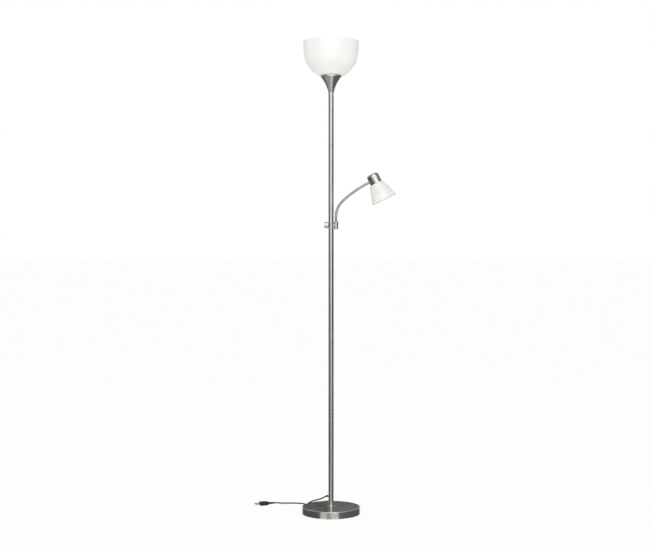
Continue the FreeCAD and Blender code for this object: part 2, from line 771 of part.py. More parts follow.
def switch_knob():
    length = d.knob_length
    bore = d.shaft_radius + d.press_gap
    form = turned("knob_form", [
        (0, length - d.knob_face), (bore, length - d.knob_face), (bore, d.knob_recess_depth),
        (d.knob_recess, d.knob_recess_depth), (d.knob_recess, 0), (d.knob_radius, 0),
        (d.knob_radius, length - d.knob_edge), Arc(d.knob_edge), (d.knob_radius - d.knob_edge, length),
        (0, length),
    ])
    inner_face = d.pole_radius + d.knob_gap
    towards_knob(form, inner_face)
    groove = bind(doc.addObject("Part::Box", "index_form"), Length=d.index_depth * 2,
                  Width=d.index_width, Height=d.knob_radius)
    face = inner_face + length
    place(groove, x=-face - d.index_depth, y=-d.index_width * 0.5, z=arm_height)
    cut("switch_knob", form, groove)


# ---------------------------------------------------------------- arm bracket
def along_arm(thing, distance):
    """Lay a piece made along Z on the arm's axis, so that it runs away from the pole."""
    return place(thing, x=distance, z=arm_height, axis=ACROSS, angle=90)


def arm_bracket():
    socket_foot = arm_height - d.socket_drop
    barrel = turned("socket_form", [
        (0, 0), (d.socket_radius - 1, 0), (d.socket_radius, 1),
        (d.socket_radius, d.socket_drop + d.socket_rise),
        (d.neck_radius + d.slide_gap, d.socket_drop + d.socket_rise),
        (d.neck_radius + d.slide_gap, d.socket_drop + d.socket_rise - d.socket_seat),
        (d.chamber_radius, d.socket_drop + d.socket_rise - d.socket_seat),
        (d.chamber_radius, d.socket_drop - d.chamber_drop),
        (0, d.socket_drop - d.chamber_drop),
    ])
    place(barrel, x=d.socket_offset, z=socket_foot)
    reach = d.socket_offset - d.chamber_radius
    boss = along_arm(cylinder("boss_form", d.boss_radius, reach), 0)
    clear = d.boss_radius * 4
    saddle = cylinder("saddle_form", d.pole_radius + d.press_gap, clear)
    place(saddle, z=arm_height - clear * 0.5)
    arm = cut("arm_form", boss, saddle)
    chamber = cylinder("chamber_form", d.chamber_radius, d.socket_drop)
    place(chamber, x=d.socket_offset, z=arm_height - d.chamber_drop)
    hose_way = cylinder("hose_way_form", d.neck_radius + d.slide_gap, d.socket_drop)
    place(hose_way, x=d.socket_offset, z=socket_top - d.socket_seat)
    arm_open = cut("arm_open_form", arm, fuse("socket_core_form", chamber, hose_way))
    stud = along_arm(cylinder("stud_form", d.stud_radius, reach - d.stud_end - 1), d.stud_end)
    solid = fuse("bracket_solid_form", barrel, arm_open, stud)
    lead_way = along_arm(cylinder("stud_bore_form", d.stud_bore, d.socket_offset), 0)
    bored = cut("bracket_bored_form", solid, lead_way)
    screw_way = cylinder("screw_way_form", d.screw_radius + thread_gap, d.socket_radius * 2)
    place(screw_way, x=d.socket_offset, z=arm_height + d.screw_height, axis=ACROSS, angle=90)
    cut("arm_bracket", bored, screw_way)
    screw_length = d.socket_radius + d.screw_proud - d.neck_radius
    screw = cylinder("neck_set_screw", d.screw_radius, screw_length)
    screw_start = d.socket_offset + d.neck_radius
    place(screw, x=screw_start, z=arm_height + d.screw_height, axis=ACROSS, angle=90)
    nut = hexagon("arm_nut_form", d.arm_nut_radius, d.arm_nut_height)
    along_arm(nut, d.arm_nut_seat - d.arm_nut_height)
    opening = along_arm(cylinder("arm_nut_hole_form", d.stud_radius + thread_gap, d.pole_radius), 0)
    cut("arm_nut", nut, opening)


# ---------------------------------------------------------------- gooseneck
def ring_at(distance, radius):
    """A circle across the gooseneck's line."""
    point, rise = neck.at(distance)
    return ring_across(point, V(cos(rise), 0, sin(rise)), ACROSS, radius)


def neck_marks():
    """Distances at which the gooseneck's stretches meet, ends included."""
    start = -d.socket_seat.value
    inner = [neck.length * k / SEGMENTS for k in range(1, SEGMENTS)]
    return [start] + inner + [neck.length]


def hose(start, end):
    """A stretch of ribbed hose: each rib is a rise, a crest, a fall and a valley."""
    crest = d.neck_radius.value
    valley = crest - d.rib_depth.value
    ribs = round((end - start) / d.rib_pitch.value)
    pitch = (end - start) / ribs
    rings = []
    for rib in range(ribs):
        foot = start + rib * pitch
        for share, radius in ((0, valley), (0.2, crest), (0.62, crest), (0.82, valley)):
            rings.append(ring_at(foot + share * pitch, radius))
    rings.append(ring_at(end, valley))
    outside = Part.makeLoft(rings, True, True)
    steps = max(1, round((end - start) / (d.rib_pitch.value * 2)))
    inside_rings = [
        ring_at(start + (end - start) * step / steps, d.neck_bore.value) for step in range(steps + 1)
    ]
    inside = Part.makeLoft(inside_rings, True, True)
    return outside.cut(inside)


def gooseneck():
    marks = neck_marks()
    into_cap = d.tip_reach.value
    for index, (start, end) in enumerate(zip(marks, marks[1:])):
        shaped(f"neck_hose_{index + 1}", hose(start, end))
        edges = neck.edges(start, end)
        if index == 0:
            edges = socket_lead() + neck.edges(start_of_lead(), end)
        if index == SEGMENTS - 1:
            tip, rise = neck.at(neck.length)
            along = V(cos(rise), 0, sin(rise))
            edges = neck.edges(start, end)
            edges.append(Part.LineSegment(tip, tip + along * (into_cap + 1)).toShape())
        shaped(f"reader_lead_{index + 1}", pipe(edges, d.lead_radius.value))


def start_of_lead():
    """Distance on the gooseneck's line at which the lead comes up out of its turn."""
    return (arm_height + d.lead_bend - socket_top).value


def socket_lead():
    """The lead from the switch through the bracket's stud, and its turn up into the gooseneck."""
    bend = d.lead_bend.value
    height = arm_height.value
    turn_start = V(d.socket_offset.value - bend, 0, height)
    turn_end = V(d.socket_offset.value, 0, height + bend)
    middle = V(turn_start.x + bend * sin(pi / 4), 0, turn_end.z - bend * cos(pi / 4))
    from_switch = V(d.switch_back.value + d.press_gap.value, 0, height)
    straight = Part.LineSegment(from_switch, turn_start).toShape()
    return [straight, Part.Arc(turn_start, middle, turn_end).toShape()]


def neck_tip():
    """A threaded tip, pressed into the hose, that goes through the cap's side to a nut."""
    spigot = d.neck_bore - d.slide_gap
    tip = turned("neck_tip", [
        (d.tip_bore, 0), (spigot, 0), (spigot, d.tip_spigot), (d.tip_radius, d.tip_spigot),
        (d.tip_radius, d.tip_spigot + d.tip_reach), (d.tip_bore, d.tip_spigot + d.tip_reach),
    ])
    back = reader_out * -d.tip_spigot.value
    tip.Placement = FreeCAD.Placement(entry_point + back, FreeCAD.Rotation(ACROSS, 90 - d.head_tilt.value))
    inward = d.cap_radius - d.tip_nut_seat
    nut = hexagon("tip_nut_form", d.tip_nut_radius, d.tip_nut_height)
    place(nut, z=inward)
    opening = cylinder("tip_nut_hole_form", d.tip_radius + thread_gap, d.cap_radius)
    lock = cut("tip_nut", nut, opening)
    lock.Placement = FreeCAD.Placement(entry_point, FreeCAD.Rotation(ACROSS, 90 - d.head_tilt.value))


# ---------------------------------------------------------------- reader
def in_reader(thing, up=0):
    """Put a piece on the reader's axis, its own Z along that axis, some way above the rim."""
    rise = number(up)
    spot = rim_centre + reader_up * rise
    turn = FreeCAD.Rotation(ACROSS, -d.head_tilt.value)
    thing.Placement = FreeCAD.Placement(spot, turn)
    lift = formula(up)
    thing.setExpression(".Placement.Base.x", f"dim.reader_x - {lift} * sin(dim.head_tilt * 1deg)")
    thing.setExpression(".Placement.Base.z", f"dim.reader_z + {lift} * cos(dim.head_tilt * 1deg)")
    thing.setExpression(".Placement.Rotation.Angle", "-dim.head_tilt")
    return thing


def reader_cap():
    inner = d.cap_radius - d.cap_wall
    edge = d.cap_edge - d.cap_wall
    height = d.cap_height
    form = turned("cap_form", [
        (inner, 0), (d.cap_radius, 0), (d.cap_radius, height - d.cap_edge), Arc(d.cap_edge),
        (d.cap_radius - d.cap_edge, height), (0, height), (0, height - d.cap_wall),
        (inner - edge, height - d.cap_wall), Arc(-edge), (inner, height - d.cap_wall - edge),
    ])
    in_reader(form, d.bell_height)
    opening = cylinder("cap_hole_form", d.tip_radius + d.slide_gap, d.cap_radius)
    turn = FreeCAD.Rotation(ACROSS, 90 - d.head_tilt.value)
    start = entry_point - reader_out * (d.cap_radius.value / 2)
    opening.Placement = FreeCAD.Placement(start, turn)
    cut("reader_cap", form, opening)


def reading_shade():
    side = d.bell_height - d.bell_shoulder_drop
    hole = d.small_holder_radius + d.slide_gap * 4
    bell = turned("reading_shade", walled([
        (hole, d.bell_height), (d.bell_top, d.bell_height), Arc(-(d.bell_wall + d.bell_inner_curve)),
        (d.bell_shoulder, side), (d.bell_waist, d.bell_waist_height), Arc(-d.bell_curve),
        (d.bell_radius, 0),
    ], d.bell_wall, side=-1))
    in_reader(bell)


def small_lampholder():
    """Its shoulder rests on the bell, and its body goes through the bell to the ring below."""
    mouth = 0
    seat = d.small_holder_drop + d.lamp_gap
    back = d.small_holder_drop + d.small_holder_rise
    socket = d.small_socket_radius
    holder = turned("small_lampholder", [
        (socket, mouth), (d.small_holder_radius, mouth), (d.small_holder_radius, seat),
        (d.small_flange_radius, seat), (d.small_flange_radius, seat + d.small_flange_height),
        (d.small_holder_radius, seat + d.small_flange_height), (d.small_holder_radius, back),
        (0, back), (0, d.small_socket_depth), (socket, d.small_socket_depth),
    ])
    in_reader(holder, d.bell_height - d.small_holder_drop)
    ring_top = d.bell_height - d.bell_wall
    ring = tube("small_shade_ring", d.small_ring_radius, d.small_holder_radius + thread_gap * 2,
                d.small_ring_height)
    in_reader(ring, ring_top - d.small_ring_height)


def lamp_pieces(prefix, cap_radius, cap_length, globe_radius, neck, length, put):
    """A lamp with its contact at its own Z of zero: screw cap with collar, and frosted globe."""
    foot = cap_radius * 0.36
    collar = globe_radius * 0.8
    cap = turned(f"{prefix}_cap", [
        (0, 0), (foot, 0), (foot, cap_length * 0.06), (cap_radius, cap_length * 0.2),
        (cap_radius, cap_length), (cap_radius * 1.1, cap_length + cap_radius * 0.1),
        Arc(-globe_radius * 2.4), (collar, neck), (0, neck),
    ])
    equator = length - globe_radius
    globe = turned(f"{prefix}_globe", [
        (0, neck), (collar, neck), Arc(globe_radius * 1.3), (globe_radius, equator),
        Arc(globe_radius), (0, length),
    ])
    put(cap)
    put(globe)


def reader_lamp():
    contact = d.bell_height - d.small_holder_drop + d.small_socket_depth - d.lamp_gap

    def hang(piece):
        """Cap up, globe down, on the reader's axis."""
        in_reader(piece, contact)
        piece.setExpression(".Placement.Rotation.Angle", None)
        turn = FreeCAD.Rotation(ACROSS, 180 - d.head_tilt.value)
        piece.Placement = FreeCAD.Placement(piece.Placement.Base, turn)

    lamp_pieces("reader_lamp", d.small_cap_radius, d.small_cap_length, d.small_lamp_radius,
                d.small_lamp_neck, d.small_lamp_length, hang)


# ---------------------------------------------------------------- top
def top_cone():
    bore = d.pole_radius + d.slide_gap
    side = d.cone_height - d.cone_lip
    inner = d.cone_radius - d.cone_wall
    cone = turned("top_cone", [
        (bore, 0), (d.cone_foot, 0), Arc(-d.cone_sweep), (d.cone_radius, side),
        (d.cone_radius, d.cone_height), (inner, d.cone_height), (inner, side + d.cone_wall * 0.5),
        Arc(d.cone_sweep + d.cone_wall),
    ])
    place(cone, z=cone_foot_height)
    plate = tube("gallery_plate", d.plate_radius, d.nipple_radius + d.slide_gap, d.plate_thickness)
    place(plate, z=plate_height)
    through = d.holder_radius + d.hole_gap
    washer = tube("soft_washer", d.washer_soft_radius, through, d.washer_soft_thickness)
    place(washer, z=holder_height)
    nipple_foot = pole_top - d.nipple_depth
    rise = holder_height + d.nipple_rise - nipple_foot
    place(tube("top_nipple", d.nipple_radius, d.nipple_bore, rise), z=nipple_foot)


def top_shade():
    bowl = turned("top_shade", walled([
        (d.holder_radius + d.hole_gap, 0), (d.bowl_foot, 0), Arc(d.bowl_heel_curve),
        (d.bowl_heel, d.bowl_heel_height), (d.bowl_flank, d.bowl_flank_height),
        Arc(d.bowl_shoulder_curve), (d.bowl_shoulder, d.bowl_shoulder_height),
        Arc(d.bowl_wall_curve), (d.bowl_radius, d.bowl_height),
    ], d.bowl_wall, side=1))
    place(bowl, z=bowl_foot_height)


def top_lampholder():
    thread = d.nipple_radius + thread_gap
    floor = d.holder_height - d.holder_socket_depth
    holder = turned("top_lampholder", [
        (thread, 0), (d.holder_radius, 0), (d.holder_radius, d.holder_height),
        (d.holder_socket_radius, d.holder_height), (d.holder_socket_radius, floor), (thread, floor),
    ])
    place(holder, z=holder_height)
    ring = tube("top_shade_ring", d.ring_radius, d.holder_radius + thread_gap * 2, d.ring_height)
    place(ring, z=bowl_foot_height + d.bowl_wall)


def top_lamp():
    contact = holder_height + d.holder_height - d.holder_socket_depth + d.lamp_gap
    lamp_pieces("top_lamp", d.lamp_cap_radius, d.lamp_cap_length, d.lamp_radius, d.lamp_neck,
                d.lamp_length, lambda piece: place(piece, z=contact))


# ---------------------------------------------------------------- leads in the pole
def inner_leads():
    out = outlet_rotation().multVec(UP)
    height = d.outlet_height.value
    bend = d.inner_bend.value
    start = V(0, 0, height) + out * (d.pole_radius + d.grommet_proud).value
    turn_start = V(0, 0, height) + out * bend
    turn_end = V(0, 0, height + bend)
    middle = turn_end + out * bend - (out * cos(pi / 4) + UP * sin(pi / 4)) * bend
    switch_foot = (arm_height - d.switch_height * 0.5 - d.press_gap).value
    edges = [
        Part.LineSegment(start, turn_start).toShape(),
        Part.Arc(turn_start, middle, turn_end).toShape(),
        Part.LineSegment(turn_end, V(0, 0, switch_foot)).toShape(),
    ]
    shaped("mains_lead", pipe(edges, d.cord_radius.value))
    switch_top = arm_height + d.switch_height * 0.5 + d.press_gap
    lead_end = holder_height + d.nipple_rise
    place(cylinder("top_lead", d.lead_radius, lead_end - switch_top), z=switch_top)


# ---------------------------------------------------------------- mains cord
class Coil:
    """Two layers of turns behind the base: in along the upper one, down, and out along the lower."""

    def __init__(self):
        self.centre = V(d.coil_centre_x.value, d.coil_centre_y.value, 0)
        self.pitch = 2 * d.cord_radius.value + d.coil_gap.value
        self.turns = d.coil_turns.value
        self.low = d.coil_lift.value + d.cord_radius.value
        self.high = self.low + self.pitch
        self.total = 2 * self.turns + 0.5
        self.dip = 0.25  # how far the climb swings inwards, in steps between turns

    def at(self, turn):
        """Centre of the cord after some turns, clockwise from the back of the coil."""
        if turn < self.turns:
            radius = d.coil_inner.value + self.pitch * (self.turns - turn)
            height = self.high
        elif turn < self.turns + 0.5:
            share = (turn - self.turns) / 0.5
            radius = d.coil_inner.value - self.pitch * self.dip * sin(pi * share)
            height = self.high - self.pitch * (1 - cos(pi * share)) / 2
        else:
            radius = d.coil_inner.value + self.pitch * (turn - self.turns - 0.5)
            height = self.low
        angle = pi / 2 - 2 * pi * turn
        return self.centre + V(radius * cos(angle), radius * sin(angle), height)

    def heading(self, turn):
        """Unit direction of the cord; at the two ends it points along the straight ends."""
        angle = pi / 2 - 2 * pi * turn
        around = V(sin(angle), -cos(angle), 0)
        step = 0.01
        before = self.at(max(turn - step, 0))
        after = self.at(min(turn + step, self.total))
        slope = (after - before).normalize()
        return around if turn in (0, self.total) else slope

    def edges(self):
        """Quarter turns, each of two arcs, with a straight end one diameter long on either side."""
        straight = 2 * d.cord_radius.value
        quarters = [turn / 4 for turn in range(int(round(self.total * 4)) + 1)]
        start = self.at(0)
        end = self.at(self.total)
        found = [Part.LineSegment(start - self.heading(0) * straight, start).toShape()]
        for a, b in zip(quarters, quarters[1:]):
            found += biarc(self.at(a), self.heading(a), self.at(b), self.heading(b))
        found.append(Part.LineSegment(end, end + self.heading(self.total) * straight).toShape())
        return found

    def entry(self):
        return self.at(0) - self.heading(0) * 2 * d.cord_radius.value

    def exit(self):
        return self.at(self.total) + self.heading(self.total) * 2 * d.cord_radius.value

    def least_gap(self):
        """Least room between turns, on points: those over half a turn apart along the cord."""
        steps = 48
        points = [self.at(step / steps) for step in range(int(self.total * steps) + 1)]
        least = min(
            (a - b).Length
            for i, a in enumerate(points)
            for b in points[i + steps // 2:]
        )
        return least - 2 * d.cord_radius.value


def over_base(points):
    """Places given as distance from the pole along the outlet's direction, and height."""
    out = outlet_rotation().multVec(UP)
    return [V(out.x * far, out.y * far, height) for far, height in points]


def cord_start():
    """The first places of the free cord: straight out of the pole, then down."""
    height = d.outlet_height.value
    first = (d.pole_radius + d.grommet_proud).value
    return [(first, height), (first + 16, height), (first + 46, height - 12.5)]


def mains_cord():
    coil = Coil()
    rim = d.base_radius.value
    over_rim = d.base_height.value + d.cord_radius.value
    drop = over_base(cord_start() + [(rim + 4, over_rim + 3.6)])
    entry = coil.entry()
    heading = coil.heading(0)
    drop += [V(-84, 121, 24), V(-81, 155, 16), V(-64, 182, 11.6)]
    drop += [entry - heading * 27, entry]
    report_cord("cord_drop", drop)
    shape = pipe(coil.edges(), d.cord_radius.value)
    shaped("cord_coil", shape)
    print("coil: least gap to itself", round(coil.least_gap(), 3))
    check_volume("cord_coil", shape, coil.edges())
    leaving = coil.exit()
    onwards = coil.heading(coil.total)
    low = d.cord_radius.value
    plug_height = d.plug_body_height.value / 2
    tail = [leaving, leaving + onwards * 20]
    tail += [V(-58, 123, low + 0.5), V(-82, 146, low), V(-105, 172, low), V(-136, 184.5, low)]
    tail += [V(-168, 186.5, low), V(-196, 183.5, low + 0.9), V(-213, 179.5, plug_height)]
    tail += [V(-225, 175.9, plug_height)]
    report_cord("cord_tail", tail)
    coil_tie(coil)
    plug(tail[-2], tail[-1])


def report_cord(name, points):
    """Make a free stretch of the cord, and print how it bends."""
    edges, radii = rounded_path(points)
    shape = pipe(edges, d.cord_radius.value)
    shaped(name, shape)
    print(name, "radii", [round(radius) for radius in radii])
    check_volume(name, shape, edges)


def check_volume(name, shape, edges):
    length = sum(edge.Length for edge in edges)
    ratio = shape.Volume / (length * pi * d.cord_radius.value**2)
    print(name, "length", round(length, 1), "volume against section times length", round(ratio, 4))


def coil_tie(coil):
    """A flat band round all the turns, at the coil's right-hand side."""
    wire = d.cord_radius.value
    clear = d.tie_gap.value
    inner_low = coil.low - wire - clear
    inner_high = coil.high + wire + clear
    near = d.coil_inner.value - coil.pitch * coil.dip - wire - clear
    far = coil.pitch * coil.turns + d.coil_inner.value + wire + clear
    band = d.tie_thickness.value
    width = d.tie_width.value
    outer = Part.makeBox(far - near + 2 * band, width, inner_high - inner_low + 2 * band)
    outer.translate(V(near - band, -width / 2, inner_low - band))
    inner = Part.makeBox(far - near, width * 2, inner_high - inner_low)
    inner.translate(V(near, -width, inner_low))
    tie = shaped("coil_tie", outer.cut(inner))
    place(tie, x=d.coil_centre_x, y=d.coil_centre_y)


def plug(before, end):
    """A flat two-pin plug that lies on the floor, its pins away from the cord."""
    way = V(end.x - before.x, end.y - before.y, 0).normalize()
    turn = FreeCAD.Rotation(V(1, 0, 0), way)
    body = doc.addObject("PartDesign::Body", "plug_form")
    half = d.plug_body_width * 0.5
    sketch = outline_sketch(body, "plug_outline", [
        (0, -half * 0.55), (d.plug_body_length * 0.35, -half), (d.plug_body_length, -half),
        (d.plug_body_length, half), (d.plug_body_length * 0.35, half), (0, half * 0.55),
    ], plane="XY_Plane")
    pad = body.newObject("PartDesign::Pad", "plug_pad")
    pad.Profile = sketch
    pad.Midplane = True
    bind(pad, Length=d.plug_body_height)
    sketch.Visibility = False
    doc.recompute()
    edge = body.newObject("PartDesign::Fillet", "plug_rounding")
    edge.Base = (pad, [f"Edge{i + 1}" for i in range(len(pad.Shape.Edges))])
    bind(edge, Radius=d.plug_edge)
    boot = doc.addObject("Part::Cone", "boot_form")
    bind(boot, Radius1=d.cord_radius + d.slide_gap * 8, Radius2=d.boot_radius, Height=d.boot_length + 3)
    place(boot, axis=ACROSS, angle=90)
    place(body, x=d.boot_length)
    whole = fuse("plug_body", boot, body)
    whole.Placement = FreeCAD.Placement(end, turn)
    pins = []
    for name, side in (("left", -0.5), ("right", 0.5)):
        pin = cylinder(f"pin_{name}_form", d.pin_radius, d.pin_length)
        start = d.boot_length + d.plug_body_length
        pins.append(place(pin, x=start, y=d.pin_spacing * side, axis=ACROSS, angle=90))
    both = doc.addObject("Part::Compound", "plug_pins")
    both.Links = pins
    both.Placement = FreeCAD.Placement(end, turn)


# ---------------------------------------------------------------- the whole lamp
def build():
    base_pad()
    base_weight()
    base_cover()
    base_fixing()
    foot_collar()
    pole()
    grommet()
    switch()
    switch_knob()
    arm_bracket()
    gooseneck()
    neck_tip()
    reader_cap()
    reading_shade()
    small_lampholder()
    reader_lamp()
    top_cone()
    top_shade()
    top_lampholder()
    top_lamp()
    inner_leads()
    mains_cord()


NODES = """base_pad base_weight base_cover base_washer base_bolt foot_collar
pole_foot_plug pole_lower pole_joiner_lower pole_middle pole_joiner_middle switch_housing
pole_joiner_upper pole_upper pole_top_plug cord_grommet mains_lead top_lead
rotary_switch switch_shaft switch_nut switch_knob arm_bracket arm_nut neck_set_screw
neck_tip tip_nut reader_cap reading_shade small_lampholder small_shade_ring
reader_lamp_cap reader_lamp_globe top_cone gallery_plate soft_washer top_nipple top_shade
top_lampholder top_shade_ring top_lamp_cap top_lamp_globe
cord_drop cord_coil coil_tie cord_tail plug_body plug_pins""".split()
NODES += [f"neck_hose_{k + 1}" for k in range(SEGMENTS)]
NODES += [f"reader_lead_{k + 1}" for k in range(SEGMENTS)]

build()
doc.recompute()
failed = [thing.Label for thing in doc.Objects if {"Invalid", "Error"} & set(thing.State)]
pieces = {name: doc.getObjectsByLabel(name)[0] for name in NODES}
failed += [name for name, piece in pieces.items() if piece.Shape.isNull() or not piece.Shape.isValid()]
if failed:
    raise RuntimeError("not built: " + ", ".join(failed))
os.makedirs("parts", exist_ok=True)
for name, piece in pieces.items():
    piece.Shape.exportStep(f"parts/{name}.step")
for index, mark in enumerate(neck_marks()[1:-1]):
    spot, rise = neck.at(mark)
    print(f"neck joint {index + 1}: x {spot.x:.3f} z {spot.z:.3f} elevation {degrees(rise):.3f}")
print("reader rim centre", rim_centre, "gooseneck end", entry_point, "length", round(neck.length, 2))
print(len(NODES), "pieces")
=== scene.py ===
# %% [markdown]
# # A floor uplighter with a reading light
#
# This notebook dresses a lamp whose every part is already cut to size. The tall lamp throws its
# light at the ceiling out of an opal bowl, and a small bell-shaped shade on a bendable gooseneck
# gives light to read by. Each cell makes one piece or one finish. Lengths are written in
# millimetres and turned into metres as they go into Blender.

# %% Load the lamp's exact parts
import json
from math import asin, atan2, ceil, cos, hypot, pi, radians, sin, sqrt

import bpy
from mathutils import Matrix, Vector


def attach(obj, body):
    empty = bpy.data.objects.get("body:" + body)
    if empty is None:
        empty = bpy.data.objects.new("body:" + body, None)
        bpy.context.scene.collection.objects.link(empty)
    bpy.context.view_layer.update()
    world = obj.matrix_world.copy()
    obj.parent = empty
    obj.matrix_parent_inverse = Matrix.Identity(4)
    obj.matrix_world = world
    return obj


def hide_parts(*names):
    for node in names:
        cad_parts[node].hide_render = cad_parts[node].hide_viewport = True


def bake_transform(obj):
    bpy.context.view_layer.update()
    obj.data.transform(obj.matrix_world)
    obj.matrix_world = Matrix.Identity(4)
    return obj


MM = 0.001
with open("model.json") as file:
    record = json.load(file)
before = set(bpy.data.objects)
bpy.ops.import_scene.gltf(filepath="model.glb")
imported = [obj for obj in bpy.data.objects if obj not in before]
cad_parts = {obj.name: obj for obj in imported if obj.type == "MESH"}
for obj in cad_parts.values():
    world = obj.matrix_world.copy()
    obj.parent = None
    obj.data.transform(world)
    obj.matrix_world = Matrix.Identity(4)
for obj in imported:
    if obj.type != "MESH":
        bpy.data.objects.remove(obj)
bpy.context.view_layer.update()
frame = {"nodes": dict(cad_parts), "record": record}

# %% [markdown]
# The camera comes first, because everything else is judged through it. The photograph was taken
# with a long lens from about five metres, level, a metre above the floor. A lens that stays
# level keeps the pole upright, and a small shift, as on a technical camera, puts the lamp in the
# middle of the picture without a tilt.

# %% Camera
bpy.ops.object.camera_add(location=(-0.0231, -4.85, 0.99), rotation=(radians(90), 0, 0))
camera = bpy.context.object
camera.name = "camera"
camera.data.lens = 70.45
camera.data.sensor_width = 36
camera.data.shift_y = -0.0331
bpy.context.scene.camera = camera
bpy.context.scene.view_settings.view_transform = "Standard"
print("camera to lamp:", round(-camera.location.y, 2), "m")

# %% [markdown]
# A few helpers for working by hand. Blender's tools act on whatever is selected, and the loaded
# parts arrive selected, so each new piece starts by letting go of everything.

# %% Helpers: select and edit
def let_go():
    """Leave edit mode and select nothing."""
    if bpy.context.object and bpy.context.object.mode != "OBJECT":
        bpy.ops.object.mode_set(mode="OBJECT")
    bpy.ops.object.select_all(action="DESELECT")


def work_on(piece):
    let_go()
    bpy.context.view_layer.objects.active = piece
    piece.select_set(True)


def edit(action="SELECT"):
    """Edit the piece in hand, with everything selected or nothing."""
    bpy.ops.object.mode_set(mode="EDIT")
    bpy.ops.mesh.select_all(action=action)


def done():
    bpy.ops.object.mode_set(mode="OBJECT")


def choose(parts, wanted):
    """Edit the piece in hand, with only those of its parts selected that pass a test."""
    edit("DESELECT")
    done()
    for part in parts:
        part.select = wanted(part)
    bpy.ops.object.mode_set(mode="EDIT")


# %% Helpers: settle, put and pull
def settle(piece):
    """Write the piece's place and turn into its mesh, so that its object stays at the origin."""
    work_on(piece)
    bpy.ops.object.transform_apply(location=True, rotation=True, scale=True)
    return piece


def put(piece, place=(0, 0, 0), turn=(0, 0, 0)):
    """Turn a piece, carry it to a place in millimetres, and settle it there."""
    piece.rotation_euler = turn
    piece.location = [side * MM for side in place]
    return settle(piece)


def just_added(name):
    """Settle and name the object that Blender added last."""
    made = settle(bpy.context.object)
    made.name = name
    return made


def block(name, middle, sides):
    """A plain block, given in millimetres."""
    let_go()
    bpy.ops.mesh.primitive_cube_add(
        size=1, location=[side * MM for side in middle], scale=[side * MM for side in sides])
    return just_added(name)


def pull(*step):
    """Extrude what is selected by a step in millimetres."""
    step = [side * MM for side in step]
    bpy.ops.mesh.extrude_region_move(TRANSFORM_OT_translate={"value": step})


# %% Helpers: smooth and soften
def apply_all(piece):
    work_on(piece)
    for modifier in list(piece.modifiers):
        bpy.ops.object.modifier_apply(modifier=modifier.name)


def smooth(piece, angle=35, weighted=True):
    """Shade it round, but keep the edges that turn by more than the angle.

    The larger of two faces counts for more, so the pole's long side stays plain up to its edge."""
    work_on(piece)
    bpy.ops.object.shade_smooth_by_angle(angle=radians(angle))
    if weighted:
        normals = piece.modifiers.new("normals", "WEIGHTED_NORMAL")
        normals.keep_sharp = True
        apply_all(piece)


def soften(piece, width, segments=3, angle=30):
    """Round every edge that turns by more than the angle, as handling and polishing do."""
    bevel = piece.modifiers.new("rounding", "BEVEL")
    bevel.width = width * MM
    bevel.segments = segments
    bevel.limit_method = "ANGLE"
    bevel.angle_limit = radians(angle)
    apply_all(piece)


# %% [markdown]
# Most of this lamp is turned: glass, spun sheet and tube are all round about an axis. A turner
# draws half of the section and lets the lathe do the rest. Here one vertex is pulled along the
# section, corner by corner, and the spin tool takes it once round. Where the section is round,
# `bow` gives the points of the arc, so the curve is as exact as on the drawing.

# %% Helpers: draw a section and spin it
def bow(a, b, radius, steps):
    """Points between a and b on an arc. It turns left where the radius is positive."""
    a, b = Vector(a), Vector(b)
    span = b - a
    hand = 1 if radius > 0 else -1
    side = Vector((-span.y, span.x)).normalized() * hand
    centre = (a + b) / 2 + side * sqrt(max(radius**2 - span.length_squared / 4, 0))
    start = a - centre
    turn = 2 * asin(min(1, span.length / 2 / abs(radius))) * hand
    found = []
    for step in range(1, steps):
        angle = turn * step / steps
        x = centre.x + start.x * cos(angle) - start.y * sin(angle)
        found.append((x, centre.y + start.x * sin(angle) + start.y * cos(angle)))
    return found


def close_up(reach):
    """Merge the vertices that lie within a reach of each other, in metres."""
    bpy.ops.mesh.select_all(action="SELECT")
    bpy.ops.mesh.remove_doubles(threshold=reach)


def spun(name, section, steps):
    """Spin a closed section, given as (radius, height) in millimetres, about the Z axis.

    An entry of four is reached by an arc: it gives the arc's end, its radius and its steps."""
    let_go()
    first = section[0]
    corners = []
    for entry in section:
        if len(entry) == 4:
            corners += bow(corners[-1], entry[:2], *entry[2:])
        corners.append(entry[:2])
    bpy.ops.mesh.primitive_plane_add(size=0.001, location=(first[0] * MM, 0, first[1] * MM))
    piece = just_added(name)
    edit()
    bpy.ops.mesh.merge(type="CENTER")
    for before, after in zip(corners, corners[1:] + [first]):
        pull(after[0] - before[0], 0, after[1] - before[1])
    close_up(1e-6)
    bpy.ops.mesh.spin(steps=steps, angle=2 * pi, center=(0, 0, 0), axis=(0, 0, 1))
    close_up(2e-6)
    bpy.ops.mesh.normals_make_consistent(inside=False)
    done()
    return piece


def turned(name, section, steps, width, segments=3, angle=30, keep=35):
    """A spun piece with its edges rounded and its shading set."""
    piece = spun(name, section, steps)
    soften(piece, width, segments, angle)
    smooth(piece, keep)
    return piece


# %% Helpers: report and dress
def report(piece):
    """Print a piece's size in millimetres and its count of faces."""
    sides = [round(side / MM, 1) for side in piece.dimensions]
    print(piece.name, "measures", sides, "with", len(piece.data.polygons), "faces")


finishes = {}


def coat(piece, name, *nodes, slot=None):
    """Give a piece a finish by its name, and let it stand for the plain parts.

    The slot argument is not used."""
    piece.data.materials.clear()
    piece.data.materials.append(finishes[name])
    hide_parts(*nodes)
    report(piece)


def dress(piece, name, body, *nodes, slot=None):
    """Fix a piece to a body of the lamp, and coat it."""
    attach(piece, body)
    coat(piece, name, *nodes, slot=slot)


# %% [markdown]
# The lamp stands in a bright studio. Four tall soft boxes light it: two on the camera's side and
# one far to each side. What nickel shows is what stands round it, so a ring of cards, bright and
# dark, stands there for the reflections alone. The world is white where the camera and the
# reflections look past the cards, and a plain warm white as light.

